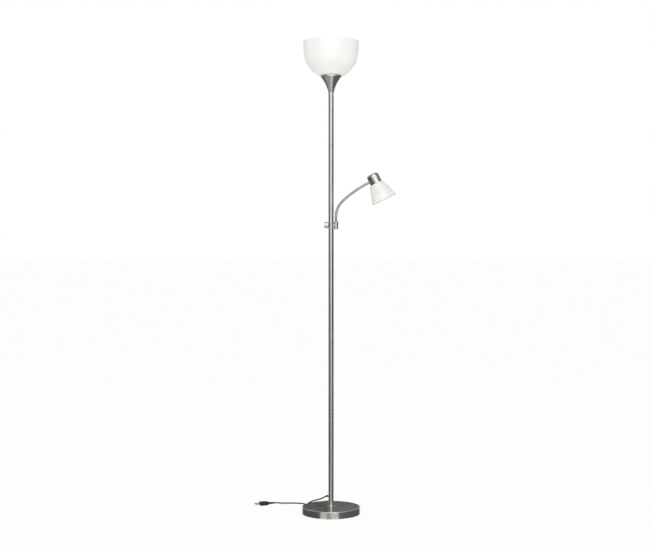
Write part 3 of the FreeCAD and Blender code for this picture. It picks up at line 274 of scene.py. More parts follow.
# %% Helpers: nodes of a material
WARM_WHITE = (1.0, 0.985, 0.96, 1)
WHITE = (1, 1, 1, 1)


def add(tree, kind, *feeds, **settings):
    """A shader node with its settings; names with an underscore in front are its sockets.

    A socket gets a number, an output, or a node whose first output it takes. The feeds go to
    the node's first sockets in their order."""
    made = tree.nodes.new("ShaderNode" + kind)
    made.location = (200 * len(tree.nodes), 0)
    sockets = dict(enumerate(feeds))
    for name, value in settings.items():
        if name.startswith("_"):
            sockets[name[1:].replace("_", " ")] = value
        else:
            setattr(made, name, value)
    for socket, value in sockets.items():
        if isinstance(value, bpy.types.Node):
            value = value.outputs[0]
        if isinstance(value, bpy.types.NodeSocket):
            tree.links.new(value, made.inputs[socket])
        else:
            made.inputs[socket].default_value = value
    return made


def seen_directly(tree):
    """One for rays from the camera, from a reflection or through glass, else nought."""
    path = add(tree, "LightPath").outputs
    first = add(tree, "Math", path["Is Camera Ray"], path["Is Glossy Ray"], operation="MAXIMUM")
    return add(tree, "Math", first, path["Is Transmission Ray"], operation="MAXIMUM")


# %% World
world = bpy.data.worlds.new("studio")
bpy.context.scene.world = world
world.use_nodes = True
tree = world.node_tree
tree.nodes.clear()
as_light = add(tree, "Background", _Color=WARM_WHITE, _Strength=0.80)
as_seen = add(tree, "Background", _Color=WHITE)
choice = add(tree, "MixShader", seen_directly(tree), as_light, as_seen)
add(tree, "OutputWorld", choice)
print("the world is", WHITE[:3], "as seen and", WARM_WHITE[:3], "as light")

# %% [markdown]
# The floor is nearly as white as the world, so that its far edge can't be seen. A small share of
# plain paint is left in what the camera sees of it, and that share takes the lamp's soft shadow.

# %% Floor
FLOOR_GLOW = 0.93


def empty_material(name):
    made = bpy.data.materials.new(name)
    made.use_nodes = True
    made.node_tree.nodes.clear()
    return made, made.node_tree


bpy.ops.mesh.primitive_plane_add(size=600, location=(0, 0, 0))
floor = just_added("floor")
pale, tree = empty_material("pale_floor")
paint = add(tree, "BsdfDiffuse", _Color=(0.86, 0.86, 0.86, 1))
white = add(tree, "Emission", _Color=WHITE)
share = add(tree, "Math", seen_directly(tree), FLOOR_GLOW, operation="MULTIPLY")
choice = add(tree, "MixShader", share, paint, white)
add(tree, "OutputMaterial", choice)
floor.data.materials.append(pale)
print("the floor glows by", FLOOR_GLOW)

# %% [markdown]
# A soft box is an area lamp that no reflection shows. It stands 3 m away, placed by its angle round
# the lamp, counted from the camera towards the right. A card is a bent plane that only reflections
# see, placed in the same way. Cards stand, lie level in the air, or lie on the floor.

# %% Helpers: soft box and card
BOX_DISTANCE = 3.0
BOX_BOTTOM = 0.05


def round_the_lamp(angle, distance, height):
    """A place round the lamp: angle 0 is towards the camera, and 90 is to the right."""
    return Vector((distance * sin(radians(angle)), -distance * cos(radians(angle)), height))


def soft_box(name, angle, width, height, brightness):
    let_go()
    centre = round_the_lamp(angle, BOX_DISTANCE, BOX_BOTTOM + height / 2)
    bpy.ops.object.light_add(type="AREA", location=centre, rotation=(radians(90), 0, radians(angle)))
    box = bpy.context.object
    box.name = name
    box.data.shape = "RECTANGLE"
    box.data.size = width
    box.data.size_y = height
    box.data.energy = brightness * pi * width * height
    box.visible_camera = False
    box.visible_glossy = False
    print(name, "gives", round(box.data.energy, 1), "W")


def card(name, start, stop, corner, low, rise=0.0, upwards=False):
    """A card between two angles, seen by reflections alone; corner gives a place on it.

    Its brightness starts at low on the floor and grows by rise for each metre of height. It may
    glow upwards alone."""
    let_go()
    cuts = max(2, ceil(abs(stop - start) / 4))
    bpy.ops.mesh.primitive_grid_add(x_subdivisions=cuts, y_subdivisions=8, size=1)
    made = bpy.context.object
    made.name = name
    for vertex in made.data.vertices:
        angle = start + (stop - start) * (vertex.co.x + 0.5)
        vertex.co = corner(angle, vertex.co.y + 0.5)
    for kind in ("camera", "diffuse", "transmission", "volume_scatter", "shadow"):
        setattr(made, f"visible_{kind}", False)
    finish, tree = empty_material(name)
    where = add(tree, "TexCoord")
    parts = add(tree, "SeparateXYZ", where.outputs["Object"])
    level = add(tree, "Math", parts.outputs["Z"], rise, low, operation="MULTIPLY_ADD")
    glow = add(tree, "Emission", _Color=WARM_WHITE, _Strength=level)
    if upwards:
        side = add(tree, "NewGeometry")
        clear = add(tree, "BsdfTransparent")
        glow = add(tree, "MixShader", side.outputs["Backfacing"], clear, glow)
    add(tree, "OutputMaterial", glow)
    made.data.materials.append(finish)
    print(name, "from", start, "to", stop, "degrees, brightness", low)


# %% Helpers: kinds of cards
def standing_card(name, start, stop, distance, bottom, top, low, rise=0.0):
    def corner(angle, up):
        return round_the_lamp(angle, distance, bottom + (top - bottom) * up)

    card(name, start, stop, corner, low, rise)


def level_card(name, start, stop, near, far, height, low, upwards=False):
    def corner(angle, out):
        return round_the_lamp(angle, near + (far - near) * out, height)

    card(name, start, stop, corner, low, upwards=upwards)


def lying_card(name, start, stop, near, far, low):
    """A sector just above the floor, bent so that the base's side sees its edges where the pole does."""
    base = 0.111

    def corner(angle, out):
        reach = near + (far - near) * out**2
        half = radians(angle / 2)
        onwards = sqrt(reach**2 - (base * sin(half))**2) - base * cos(half)
        return round_the_lamp(angle / 2, base, 0.001) + round_the_lamp(angle, onwards, 0)

    card(name, start, stop, corner, low)


# %% Soft boxes, and cards in the air
soft_box("soft_box_left", -30, 1.25, 3.0, 1.1)
soft_box("soft_box_right", 14, 1.5, 3.0, 1.1)
soft_box("soft_box_side", -104, 1.2, 2.6, 0.55)
soft_box("soft_box_far_right", 84, 1.2, 2.6, 0.8)
standing_card("bright_left", -42, -18, 5.0, 0.5, 5.9, 0.75, 0.15)
standing_card("bright_middle", -18, 7, 5.0, 0.9, 5.9, 1.1, 0.15)
standing_card("bright_right", -2, 29, 5.05, 0.0, 5.9, 1.05, 0.4)
standing_card("dark_line", 7, 11, 4.95, 0.9, 5.9, 0.4)
standing_card("bright_far_right", 29, 62, 5.0, 2.3, 4.5, 1.1)
standing_card("bright_side", -116, -90, 5.0, 0.0, 2.6, 0.3, 0.1)
standing_card("dark_right", 29, 152, 5.5, -0.5, 6.0, 0.09, 0.04)
standing_card("dark_left", -152, -43, 5.5, -0.5, 6.0, 0.09, 0.04)
standing_card("dark_front", -43, 29, 5.5, -0.5, 6.0, 0.2)
level_card("dark_above", 30, 342, 0.01, 5.5, 6.0, 0.35)
level_card("bright_above", -18, 30, 0.01, 5.5, 6.0, 1.3)
level_card("grey_under_cone", -85, -12, 0.0115, 0.12, 1.6, 0.42, upwards=True)
level_card("bright_under_cone", -12, 30, 0.0115, 0.12, 1.6, 0.75, upwards=True)

# %% [markdown]
# Low on the stand the reflections look down at the floor. So cards lie there too, in the same
# directions, and two small ones stand behind the base, where its top looks.

# %% Cards on the floor and behind the base
lying_card("floor_right", 29, 152, 0.114, 5.0, 0.13)
lying_card("floor_left", -152, -43, 0.114, 5.0, 0.11)
lying_card("floor_gap", -18, -2, 0.114, 5.0, 0.4)
lying_card("floor_front_left", -43, -18, 0.13, 0.7, 0.75)
lying_card("floor_far_left", -43, -18, 0.7, 5.0, 0.35)
lying_card("floor_front_right", -2, 29, 0.13, 0.7, 0.75)
lying_card("floor_far_right", -2, 29, 0.7, 5.0, 0.85)
standing_card("dark_behind_right", 163, 180, 1.25, 0.05, 0.65, 0.105)
standing_card("dark_behind_left", 180, 197, 1.25, 0.05, 0.65, 0.065)

# %% [markdown]
# ## Finishes
# The metal is nickel plate with a satin finish. Plain smooth metal looks like chrome, so two small
# things are added: very fine lines that run the way the polishing mop ran, and a roughness that
# drifts a little. On turned pieces the lines are rings about the piece's own axis, so the
# pattern reads the distance from that axis, with a Mapping node that finds the axis.

# %% Helpers: finishes
def bare_material(name, **settings):
    """A new finish with one main shader, whose even settings go straight on its sockets."""
    made = bpy.data.materials.new(name)
    made.use_nodes = True
    finishes[name] = made
    shader = made.node_tree.nodes["Principled BSDF"]
    for socket, value in settings.items():
        shader.inputs[socket.replace("_", " ")].default_value = value
    return made.node_tree, shader


def place_of(tree, origin=(0, 0, 0), turn=(0, 0, 0)):
    """Coordinates of the piece, in metres, counted from an axis of its own."""
    where = add(tree, "TexCoord")
    return add(tree, "Mapping", where.outputs["Object"], vector_type="TEXTURE",
               _Location=origin, _Rotation=turn)


def round_about(tree, place):
    """Turn a place into (distance from the axis, height, 0), for a pattern of rings."""
    parts = add(tree, "SeparateXYZ", place).outputs
    flat = add(tree, "CombineXYZ", parts["X"], parts["Y"])
    reach = add(tree, "VectorMath", flat, operation="LENGTH")
    return add(tree, "CombineXYZ", reach.outputs["Value"], parts["Z"])


def rough_between(tree, shader, pattern, low, high):
    limits = add(tree, "MapRange", pattern, _To_Min=low, _To_Max=high)
    tree.links.new(limits.outputs["Result"], shader.inputs["Roughness"])


def colour_between(tree, shader, pattern, first, second, start=0.3, stop=0.7):
    ramp = add(tree, "ValToRGB", pattern)
    for end, place, colour in zip(ramp.color_ramp.elements, (start, stop), (first, second)):
        end.position = place
        end.color = (*colour, 1)
    tree.links.new(ramp.outputs["Color"], shader.inputs["Base Color"])


def raise_by(tree, shader, pattern, depth, strength=0.5):
    """A bump whose full height is a depth in millimetres."""
    bump = add(tree, "Bump", _Height=pattern, _Distance=depth * MM, _Strength=strength)
    tree.links.new(bump.outputs["Normal"], shader.inputs["Normal"])


# %% Satin nickel
def nickel(name, low, high, rings=True, origin=(0, 0, 0), turn=(0, 0, 0), depth=0.004):
    tree, shader = bare_material(name, Metallic=1.0)
    place = place_of(tree, origin, turn)
    along = round_about(tree, place) if rings else place
    scale = (1400, 1400, 1) if rings else (1500, 1500, 25)
    stretched = add(tree, "Mapping", along, _Scale=scale)
    lines = add(tree, "TexNoise", stretched, _Scale=1.0, _Detail=3.0)
    drift = add(tree, "TexNoise", place, _Scale=22.0, _Detail=2.0)
    rough_between(tree, shader, drift, low, high)
    colour_between(tree, shader, drift, (0.60, 0.585, 0.565), (0.65, 0.635, 0.615))
    raise_by(tree, shader, lines, depth)


nickel("satin_nickel", 0.19, 0.24, rings=False, depth=0.0015)
nickel("turned_nickel", 0.20, 0.27)
nickel("base_nickel", 0.22, 0.28, depth=0.001)

# %% [markdown]
# The bowl is opal glass: white through and through, with a satin outside. A little light enters
# and comes out again close by, which is what subsurface does. The bell is cloudy glass that looks
# like alabaster: soft grey-cream veins, drawn by a noise whose place is itself bent by a
# slower noise, so that the veins wander.

# %% Opal and cloudy glass
def painted_rim_shade(tree, shader, origin, turn, width):
    """Darken the glass towards nought on the piece's own axis, as a painted shade line along the rim."""
    parts = add(tree, "SeparateXYZ", place_of(tree, origin, turn))
    fade = add(tree, "MapRange", parts.outputs["Z"], _From_Max=width * MM, _To_Min=0.78, _To_Max=1.0)
    colour = shader.inputs["Base Color"].links[0].from_socket
    dim = add(tree, "VectorMath", colour, operation="SCALE", _Scale=fade)
    tree.links.new(dim.outputs[0], shader.inputs["Base Color"])


def opal(name, first, second, scale, rough, glow, rim=None):
    tree, shader = bare_material(
        name, Subsurface_Weight=glow, Subsurface_Radius=(0.006, 0.0055, 0.005), Subsurface_Scale=1.0,
        IOR=1.5, Coat_Weight=0.25, Coat_Roughness=0.12,
    )
    place = place_of(tree)
    slow = add(tree, "TexNoise", place, _Scale=scale * 0.6, _Detail=2.0)
    bend = add(tree, "VectorMath", slow.outputs["Color"], operation="SCALE", _Scale=0.05)
    bent = add(tree, "VectorMath", place, bend, operation="ADD")
    cloud = add(tree, "TexNoise", bent, _Scale=scale, _Detail=4.0, _Roughness=0.6)
    colour_between(tree, shader, cloud, first, second, 0.38, 0.62)
    # A rim adds a painted shade line along the glass's rim.
    if rim:
        painted_rim_shade(tree, shader, *rim)
    rough_between(tree, shader, cloud, rough - 0.04, rough + 0.04)
    raise_by(tree, shader, cloud, 0.006, 0.2)


opal("opal_glass", (0.93, 0.925, 0.91), (0.95, 0.945, 0.935), 14, 0.38, 0.25)
opal("cloudy_glass", (0.85, 0.845, 0.80), (0.89, 0.885, 0.85), 26, 0.30, 0.2)
opal("frosted_glass", (0.92, 0.92, 0.91), (0.95, 0.95, 0.94), 40, 0.5, 0.3)

# %% [markdown]
# Plastics and rubber differ from one another mostly in roughness. Each gets a faint grain, as a
# mould leaves it, and the cord gets the slight waviness of an extruded sheath. Colours vary by a
# few hundredths, because nothing moulded is perfectly even.

# %% Plastics, rubber and small metal
def moulded(name, first, second, rough, grain=900, depth=0.01, **settings):
    tree, shader = bare_material(name, **settings)
    place = place_of(tree)
    grains = add(tree, "TexNoise", place, _Scale=grain, _Detail=3.0)
    broad = add(tree, "TexNoise", place, _Scale=35.0, _Detail=2.0)
    colour_between(tree, shader, broad, first, second)
    rough_between(tree, shader, grains, rough - 0.05, rough + 0.05)
    raise_by(tree, shader, grains, depth, 0.4)


moulded("white_plastic", (0.84, 0.84, 0.82), (0.88, 0.88, 0.86), 0.30)
moulded("black_plastic", (0.018, 0.018, 0.018), (0.026, 0.026, 0.026), 0.42)
moulded("black_cord", (0.022, 0.022, 0.022), (0.034, 0.034, 0.034), 0.40, 260, 0.03)
moulded("black_rubber", (0.02, 0.02, 0.02), (0.03, 0.03, 0.03), 0.6)
moulded("black_foam", (0.02, 0.02, 0.02), (0.04, 0.04, 0.04), 0.9, 1200, 0.15)
moulded("clear_rubber", (0.72, 0.72, 0.70), (0.80, 0.80, 0.78), 0.45)
moulded("lead_sheath", (0.78, 0.78, 0.76), (0.84, 0.84, 0.82), 0.4)
moulded("cast_iron", (0.05, 0.05, 0.05), (0.09, 0.085, 0.08), 0.7, 500, 0.2, Metallic=0.6)
moulded("zinc_steel", (0.62, 0.62, 0.60), (0.70, 0.70, 0.69), 0.32, 400, 0.01, Metallic=1.0)
moulded("bright_brass", (0.78, 0.56, 0.25), (0.86, 0.64, 0.32), 0.25, 500, 0.01, Metallic=1.0)

# %% [markdown]
# Pieces hidden inside the lamp keep their exact parts and only get a finish. The record names a
# material slot for each part. Most finishes are called like their slot, and three are not.

# %% Finish the hidden parts
in_record = {"brushed_nickel": "satin_nickel", "spun_nickel": "turned_nickel", "brass": "bright_brass"}
for slot, name in in_record.items():
    finishes[slot] = finishes[name]
for entry in frame["record"]["subparts"]:
    part = frame["nodes"][entry["node"]]
    part.data.materials.clear()
    part.data.materials.append(finishes[entry["material_slot"]])

# %% [markdown]
# ## The stand
# The base is a heavy disc under a spun cover. The cover's outline has an upright skirt, a rolled
# top edge and a flat top, and the foot collar hides the joint with the pole. Both are turned,
# so both are spun from a section.

# %% Base cover and foot collar
BASE_RADIUS = 111
BASE_TOP = 28
cover = turned("base_shell", [
    (BASE_RADIUS, 1), (BASE_RADIUS, 24.5), (107.5, BASE_TOP, 3.5, 8), (60, BASE_TOP),
    (10.2, BASE_TOP), (10.2, 26.8), (107.5, 26.8), (109.8, 24.5, -2.3, 6), (109.8, 1),
], 160, 0.35, 2)
dress(cover, "base_nickel", "stand", "base_cover", slot="spun_nickel")

collar = turned("pole_collar", [
    (10.1, BASE_TOP), (14, BASE_TOP), (14, 29.5), (11.3, 34.5, -7, 8), (10.1, 34.5),
], 64, 0.3)
dress(collar, "turned_nickel", "stand", "foot_collar", slot="brushed_nickel")

# %% [markdown]
# The pole comes in screwed lengths of the same 20 mm tube, so it packs in a short box. Each length
# is a cylinder without caps that gets a wall on its inside, and its ends are barely rounded, so
# that the seams show as hairlines from close by and not at all from a few steps away.

# %% Pole
POLE_RADIUS = 10
POLE_WALL = 1.2


def pole_length(name, bottom, top, *nodes):
    let_go()
    bpy.ops.mesh.primitive_cylinder_add(
        vertices=72, radius=POLE_RADIUS * MM, depth=(top - bottom) * MM,
        end_fill_type="NOTHING", location=(0, 0, (bottom + top) / 2 * MM))
    tube = just_added(name)
    wall = tube.modifiers.new("wall", "SOLIDIFY")
    wall.thickness = POLE_WALL * MM
    wall.offset = -1
    wall.use_even_offset = True
    apply_all(tube)
    soften(tube, 0.12, 2, 60)
    smooth(tube)
    dress(tube, "satin_nickel", "stand", *nodes, slot="brushed_nickel")


pole_length("pole_first", BASE_TOP, 560, "pole_lower")
pole_length("pole_second", 560, 1070, "pole_middle")
pole_length("pole_switch_length", 1070, 1130, "switch_housing")
pole_length("pole_third", 1130, 1615, "pole_upper")

# %% [markdown]
# The knob is turned too, but about an axis that lies flat, so it is spun upright and then laid
# down. The thin line on its face that shows where it points is a groove, cut by a Boolean with a
# long thin block.

# %% Switch knob
ARM_HEIGHT = 1100


def rod(name, radius, start, end, vertices=48):
    """A plain rod between two points in millimetres, for cutting and joining."""
    let_go()
    a, b = Vector(start) * MM, Vector(end) * MM
    bpy.ops.mesh.primitive_cylinder_add(vertices=vertices, radius=radius * MM, depth=(b - a).length)
    made = just_added(name)
    made.rotation_euler = (b - a).to_track_quat("Z", "Y").to_euler()
    made.location = (a + b) / 2
    return settle(made)


def combine(piece, tool, how):
    """Join or cut with another piece, which is used up."""
    step = piece.modifiers.new(how.lower(), "BOOLEAN")
    step.operation = how
    step.object = tool
    apply_all(piece)
    bpy.data.objects.remove(tool)


knob = spun("turning_knob", [
    (0, 12.4), (3.05, 12.4), (3.05, 4), (7.2, 4), (7.2, 0), (12, 0), (12, 13.2),
    (10.8, 14.4, 1.2, 6), (0, 14.4),
], 96)
soften(knob, 0.25, 2)
put(knob, (-10.6, 0, ARM_HEIGHT), (0, radians(-90), 0))
combine(knob, block("groove", (-25, 0, ARM_HEIGHT + 6.5), (1.2, 1.2, 11)), "DIFFERENCE")
smooth(knob)
nickel("knob_nickel", 0.07, 0.11, origin=(0, 0, ARM_HEIGHT * MM), turn=(0, radians(-90), 0))
dress(knob, "knob_nickel", "knob", "switch_knob", slot="brushed_nickel")

# %% [markdown]
# On the other side a small cast bracket carries the gooseneck: an upright barrel, joined to the
# pole by a short boss whose end is hollowed to the tube. The boss and the barrel are made one with
# a Boolean, and the pole's round is cut out of the boss with another.

# %% Arm bracket
SOCKET_X = 19
SOCKET_TOP = ARM_HEIGHT + 13
barrel = spun("arm_socket", [
    (0, -15.8), (7.2, -15.8), (8.2, -14.8), (8.2, 12.3), (7.5, 13), (5.1, 13), (5.1, 5), (4, 5),
    (4, -5), (0, -5),
], 64)
put(barrel, (SOCKET_X, 0, ARM_HEIGHT))
boss = rod("boss", 5.5, (4, 0, ARM_HEIGHT), (15.1, 0, ARM_HEIGHT))
combine(boss, rod("seat", 10.05, (0, 0, ARM_HEIGHT - 20), (0, 0, ARM_HEIGHT + 20), 96), "DIFFERENCE")
combine(barrel, boss, "UNION")
combine(barrel, rod("screw_way", 1.55, (23, 0, ARM_HEIGHT + 8), (29, 0, ARM_HEIGHT + 8), 24), "DIFFERENCE")
soften(barrel, 0.3, 2, 40)
smooth(barrel, 40)
nickel("bracket_nickel", 0.10, 0.15, origin=(SOCKET_X * MM, 0, 0))
dress(barrel, "bracket_nickel", "stand", "arm_bracket", slot="brushed_nickel")

# %% [markdown]
# A set screw holds the gooseneck in its socket. It has a hole for a key in its end: the end face is
# inset, and what is left of it in the middle is pushed in.

# %% Set screw
screw = rod("arm_set_screw", 1.5, (0, 0, -1.8), (0, 0, 1.8), 24)
choose(screw.data.polygons, lambda face: face.normal.z > 0.9)
bpy.ops.mesh.inset(thickness=0.55 * MM)
pull(0, 0, -1.2)
done()
soften(screw, 0.1, 2)
smooth(screw)
put(screw, (SOCKET_X + 6.8, 0, ARM_HEIGHT + 8), (0, radians(90), 0))
dress(screw, "zinc_steel", "stand", "neck_set_screw")

# %% [markdown]
# ## The gooseneck
# A gooseneck is a tube of two wires wound into each other. It holds any curve because the wires rub,
# and from outside it is a row of small rounded ribs. One rib is made from a ring of vertices that is
# pulled along and swelled, an array repeats it, and a curve modifier lays the row along the
# neck's line: straight up out of the socket, round a bend, then along a far easier one.

# %% The neck's line
# The length of each part, and its bend, which is one over the radius.
NECK_PARTS = [(20.5, 0.0), (81 * radians(47.3), 1 / 81), (430 * radians(16.2), 1 / 430)]
NECK_LENGTH = sum(length for length, bend in NECK_PARTS)
NECK_FOOT = -8
NECK_LINKS = 6
STATIONS = 300


def neck_at(distance):
    """Point in millimetres and slope in radians, at a distance from the socket's top."""
    x, z, slope, left = SOCKET_X, SOCKET_TOP, pi / 2, distance
    for index, (length, bend) in enumerate(NECK_PARTS):
        run = left if index == 2 else min(left, length)
        if bend:
            after = slope - run * bend
            x += (sin(slope) - sin(after)) / bend
            z += (cos(after) - cos(slope)) / bend
            slope = after
        else:
            x += run * cos(slope)
            z += run * sin(slope)
        left -= run
        if left <= 0:
            break
    return Vector((x, 0, z)), slope


def line_through(name, places, kind="POLY"):
    """A curve of one spline, steered by places in metres."""
    let_go()
    bpy.ops.curve.primitive_bezier_curve_add()
    made = bpy.context.object
    made.name = name
    made.data.splines.clear()
    line = made.data.splines.new(kind)
    line.points.add(len(places) - 1)
    for point, place in zip(line.points, places):
        point.co = (*place, 1)
    return made


def lay_along(piece, line):
    """Bend a piece that lies along X to a line, with the modifiers that it already has."""
    lay = piece.modifiers.new("lay", "CURVE")
    lay.object = line
    apply_all(piece)
    edit()
    bpy.ops.mesh.normals_make_consistent(inside=False)
    done()


neck_steps = [NECK_FOOT + (NECK_LENGTH - NECK_FOOT) * index / STATIONS for index in range(STATIONS + 1)]
neck_line = line_through("neck_line", [neck_at(distance)[0] * MM for distance in neck_steps])
print("gooseneck:", round(NECK_LENGTH, 2), "mm long")

# %% [markdown]
# The neck bends at five places, and each stretch of ribs crosses one of them.

# %% Helpers: a ring, and a row of ribs
NECK_CREST = 5.0
NECK_VALLEY = 4.35
RIB = 2.48


def ring_at(name, radius, distance, fill, vertices):
    """A ring of vertices across the X axis, as the start of a row."""
    let_go()
    bpy.ops.mesh.primitive_circle_add(
        vertices=vertices, radius=radius * MM, fill_type=fill,
        location=(distance * MM, 0, 0), rotation=(0, radians(90), 0))
    made = just_added(name)
    edit()
    return made


def rib_row(name, start, stop):
    """A straight row of ribs along X, then laid on the neck's line."""
    count = round((stop - start) / RIB)
    pitch = (stop - start) / count
    radius = NECK_VALLEY
    here = start - NECK_FOOT
    depth = NECK_CREST - NECK_VALLEY
    row = ring_at(name, radius, here, "NOTHING", 40)
    for share in (0.08, 0.2, 0.35, 0.5, 0.65, 0.8, 0.92, 1.0):
        swell = sqrt(max(0, 1 - (2 * share - 1) ** 4)) if 0 < share < 1 else 0
        after = start - NECK_FOOT + share * pitch
        pull(after - here, 0, 0)
        wider = (NECK_VALLEY + depth * swell) / radius
        bpy.ops.transform.resize(value=(1, wider, wider), center_override=(after * MM, 0, 0))
        radius = NECK_VALLEY + depth * swell
        here = after
    done()
    repeat = row.modifiers.new("ribs", "ARRAY")
    repeat.count = count
    repeat.use_relative_offset = False
    repeat.use_constant_offset = True
    repeat.constant_offset_displace = (pitch * MM, 0, 0)
    repeat.use_merge_vertices = True
    repeat.merge_threshold = 0.00002
    lay_along(row, neck_line)
    smooth(row, 50, weighted=False)
    return row


# %% Ribs, one stretch for each bend
BEND_REACH = 15


def stretch(bend, first, last):
    """Where the stretch over a bend starts and stops, in millimetres along the neck."""
    start = first if bend == 0 else NECK_LENGTH * (bend + 0.5) / NECK_LINKS
    stop = last if bend == NECK_LINKS - 2 else NECK_LENGTH * (bend + 1.5) / NECK_LINKS
    return start, stop


def bend_with_neck(piece, bend, finish, plain, slot=None):
    """Set a piece that crosses a bend in place, and let it stand for the plain stretch there."""
    joint, slope = neck_at(NECK_LENGTH * (bend + 1) / NECK_LINKS)
    reach = Vector((cos(slope), 0, sin(slope))) * BEND_REACH
    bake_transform(piece)
    numbers = [bend + 1] + ([NECK_LINKS] if bend == NECK_LINKS - 2 else [])
    coat(piece, finish, *[f"{plain}_{number}" for number in numbers], slot=slot)


nickel("neck_nickel", 0.22, 0.30, rings=False)
for bend in range(NECK_LINKS - 1):
    ribs = rib_row(f"neck_ribs_{bend + 1}", *stretch(bend, NECK_FOOT, NECK_LENGTH))
    bend_with_neck(ribs, bend, "neck_nickel", "neck_hose", "brushed_nickel")
bpy.data.objects.remove(neck_line)

# %% [markdown]
# The lead inside the neck comes from the switch through the bracket's stud, turns up in the socket and
# follows the neck into the cap. It is made in stretches over the same five bends.

# %% The lead inside, one stretch for each bend
LEAD_RADIUS = 1.9
LEAD_TURN = 5
LEAD_FROM = 2.05
LEAD_START = NECK_FOOT - LEAD_TURN * pi / 2 - (SOCKET_X - LEAD_TURN - LEAD_FROM)
LEAD_END = NECK_LENGTH + 8
LEAD_STEP = 1.6


def lead_at(distance):
    """Point in millimetres on the lead's line; below the neck's foot it turns into the stud."""
    before = NECK_FOOT - distance
    if before <= 0:
        return neck_at(distance)[0]
    turn = min(before / LEAD_TURN, pi / 2)
    x = SOCKET_X - LEAD_TURN * (1 - cos(turn))
    z = ARM_HEIGHT + LEAD_TURN * (1 - sin(turn))
    return Vector((x - (before - LEAD_TURN * turn), 0, z))


lead_steps = [LEAD_START + (LEAD_END - LEAD_START) * index / 600 for index in range(601)]
lead_line = line_through("lead_line", [lead_at(distance) * MM for distance in lead_steps])
for bend in range(NECK_LINKS - 1):
    start, stop = stretch(bend, LEAD_START, LEAD_END)
    steps = round((stop - start) / LEAD_STEP)
    core = ring_at(f"reader_wire_{bend + 1}", LEAD_RADIUS, start - LEAD_START, "NGON", 24)
    for step in range(steps):
        pull((stop - start) / steps, 0, 0)
    done()
    lay_along(core, lead_line)
    smooth(core, 50, weighted=False)
    bend_with_neck(core, bend, "lead_sheath", "reader_lead")
bpy.data.objects.remove(lead_line)

# %% [markdown]
# ## The reading light
# The head hangs tilted, with the gooseneck square into the side of its cap. Its pieces are spun
# upright on their own axis, counted from the bell's rim, then tilted and carried to their place
# together. Inside are a small lampholder with a shade ring and a round lamp.

# %% The head's own axis
TILT = radians(26.5)
CAP_RADIUS = 23.5
BELL_HEIGHT = 69.6
neck_end = neck_at(NECK_LENGTH)[0]
head_out = Vector((cos(TILT), 0, sin(TILT)))
head_up = Vector((-sin(TILT), 0, cos(TILT)))
rim_middle = neck_end + head_out * CAP_RADIUS - head_up * (BELL_HEIGHT + 14.3)
print("bell's rim is centred at", [round(value, 1) for value in rim_middle])


def on_head(piece):
    return put(piece, rim_middle, (0, -TILT, 0))


nickel("head_nickel", 0.06, 0.10, origin=rim_middle * MM, turn=(0, -TILT, 0))

# %% Reader cap
cap_top = BELL_HEIGHT + 38.6
cap_side = cap_top - 9
cap = turned("reader_cup", [
    (22.5, BELL_HEIGHT), (CAP_RADIUS, BELL_HEIGHT), (CAP_RADIUS, cap_side),
    (14.5, cap_top, 9, 12), (5, cap_top), (0, cap_top),
    (0, cap_top - 1), (14.5, cap_top - 1), (22.5, cap_side, -8, 10),
], 120, 0.25, 2)
on_head(cap)
dress(cap, "head_nickel", "reader", "reader_cap", slot="brushed_nickel")

# %% [markdown]
# The bell is blown glass: a flat top where the cap sits, a small shoulder, a straight flank, and a
# mouth that rounds down to the rim. The wall is drawn in the section itself, so the thickness at
# the rim is real, and the rim's two edges are fire-polished, which is to say rounded.

# %% Bell shade
bell = turned("reading_bell", [
    (14.4, 69.6), (25.5, 69.6), (28.5, 67, -3.5, 8), (31.9, 57.5),
    (35.2, 48), (38.6, 38.5), (42, 29), (50, 0, -205, 16),
    (47.45, 0), (39.64, 28.16, 202.5, 16), (32.9, 47.2),
    (26.11, 66.27), (25.36, 67.1, 1, 4), (14.4, 67.1),
], 128, 0.8, 4, 40, 40)
on_head(bell)
# The bell's rim gets a painted shade line over its last 4 mm.
opal("bell_glass", (0.86, 0.855, 0.81), (0.885, 0.88, 0.84), 18, 0.34, 0.2,
     rim=(rim_middle * MM, (0, -TILT, 0), 4))
dress(bell, "bell_glass", "reader", "reading_shade", slot="cloudy_glass")

# %% [markdown]
# Under the cap a plastic lampholder passes through the bell, and a ring screwed on from below
# clamps the glass. The ring is gripped with the fingertips, so its side is fluted: of every four
# upright edges two are drawn in a little.

# %% Helper: fluted ring
def fluted_ring(name, outer, inner, bottom, height, flutes, depth):
    """A ring whose upright side has shallow flutes, as many as asked for."""
    ring = spun(name, [
        (inner, bottom), (outer, bottom), (outer, bottom + height * 0.2),
        (outer, bottom + height * 0.8), (outer, bottom + height), (inner, bottom + height),
    ], flutes * 4)
    for vertex in ring.data.vertices:
        x, y, z = vertex.co / MM
        wave = round((atan2(y, x) / (2 * pi)) * flutes * 4) % 4
        grooved = wave in (0, 1) and hypot(x, y) > outer - 0.01
        if grooved and bottom + height * 0.1 < z < bottom + height * 0.9:
            vertex.co.xy *= 1 - depth / outer
    soften(ring, 0.25, 2, 50)
    smooth(ring, 45)
    return ring


# %% Small lampholder, its ring and its lamp
mouth = BELL_HEIGHT - 11.6
holder = turned("reader_socket", [
    (7.4, mouth), (14, mouth), (14, mouth + 11.9), (22.3, mouth + 11.9), (22.3, mouth + 14.9),
    (14, mouth + 14.9), (14, mouth + 35.6), (0, mouth + 35.6), (0, mouth + 26), (7.4, mouth + 26),
], 64, 0.5)
on_head(holder)
dress(holder, "white_plastic", "reader", "small_lampholder")

ring = fluted_ring("reader_clamp_ring", 20, 14.1, BELL_HEIGHT - 8.5, 6, 30, 0.7)
on_head(ring)
dress(ring, "white_plastic", "reader", "small_shade_ring")

# %% [markdown]
# Both lamps are the same kind at two sizes: a screw cap in white plastic with a flared collar, and
# a frosted globe. A lamp hangs in the bell and stands in the bowl, so it is drawn once with its
# contact at nought, and then turned over where it hangs.

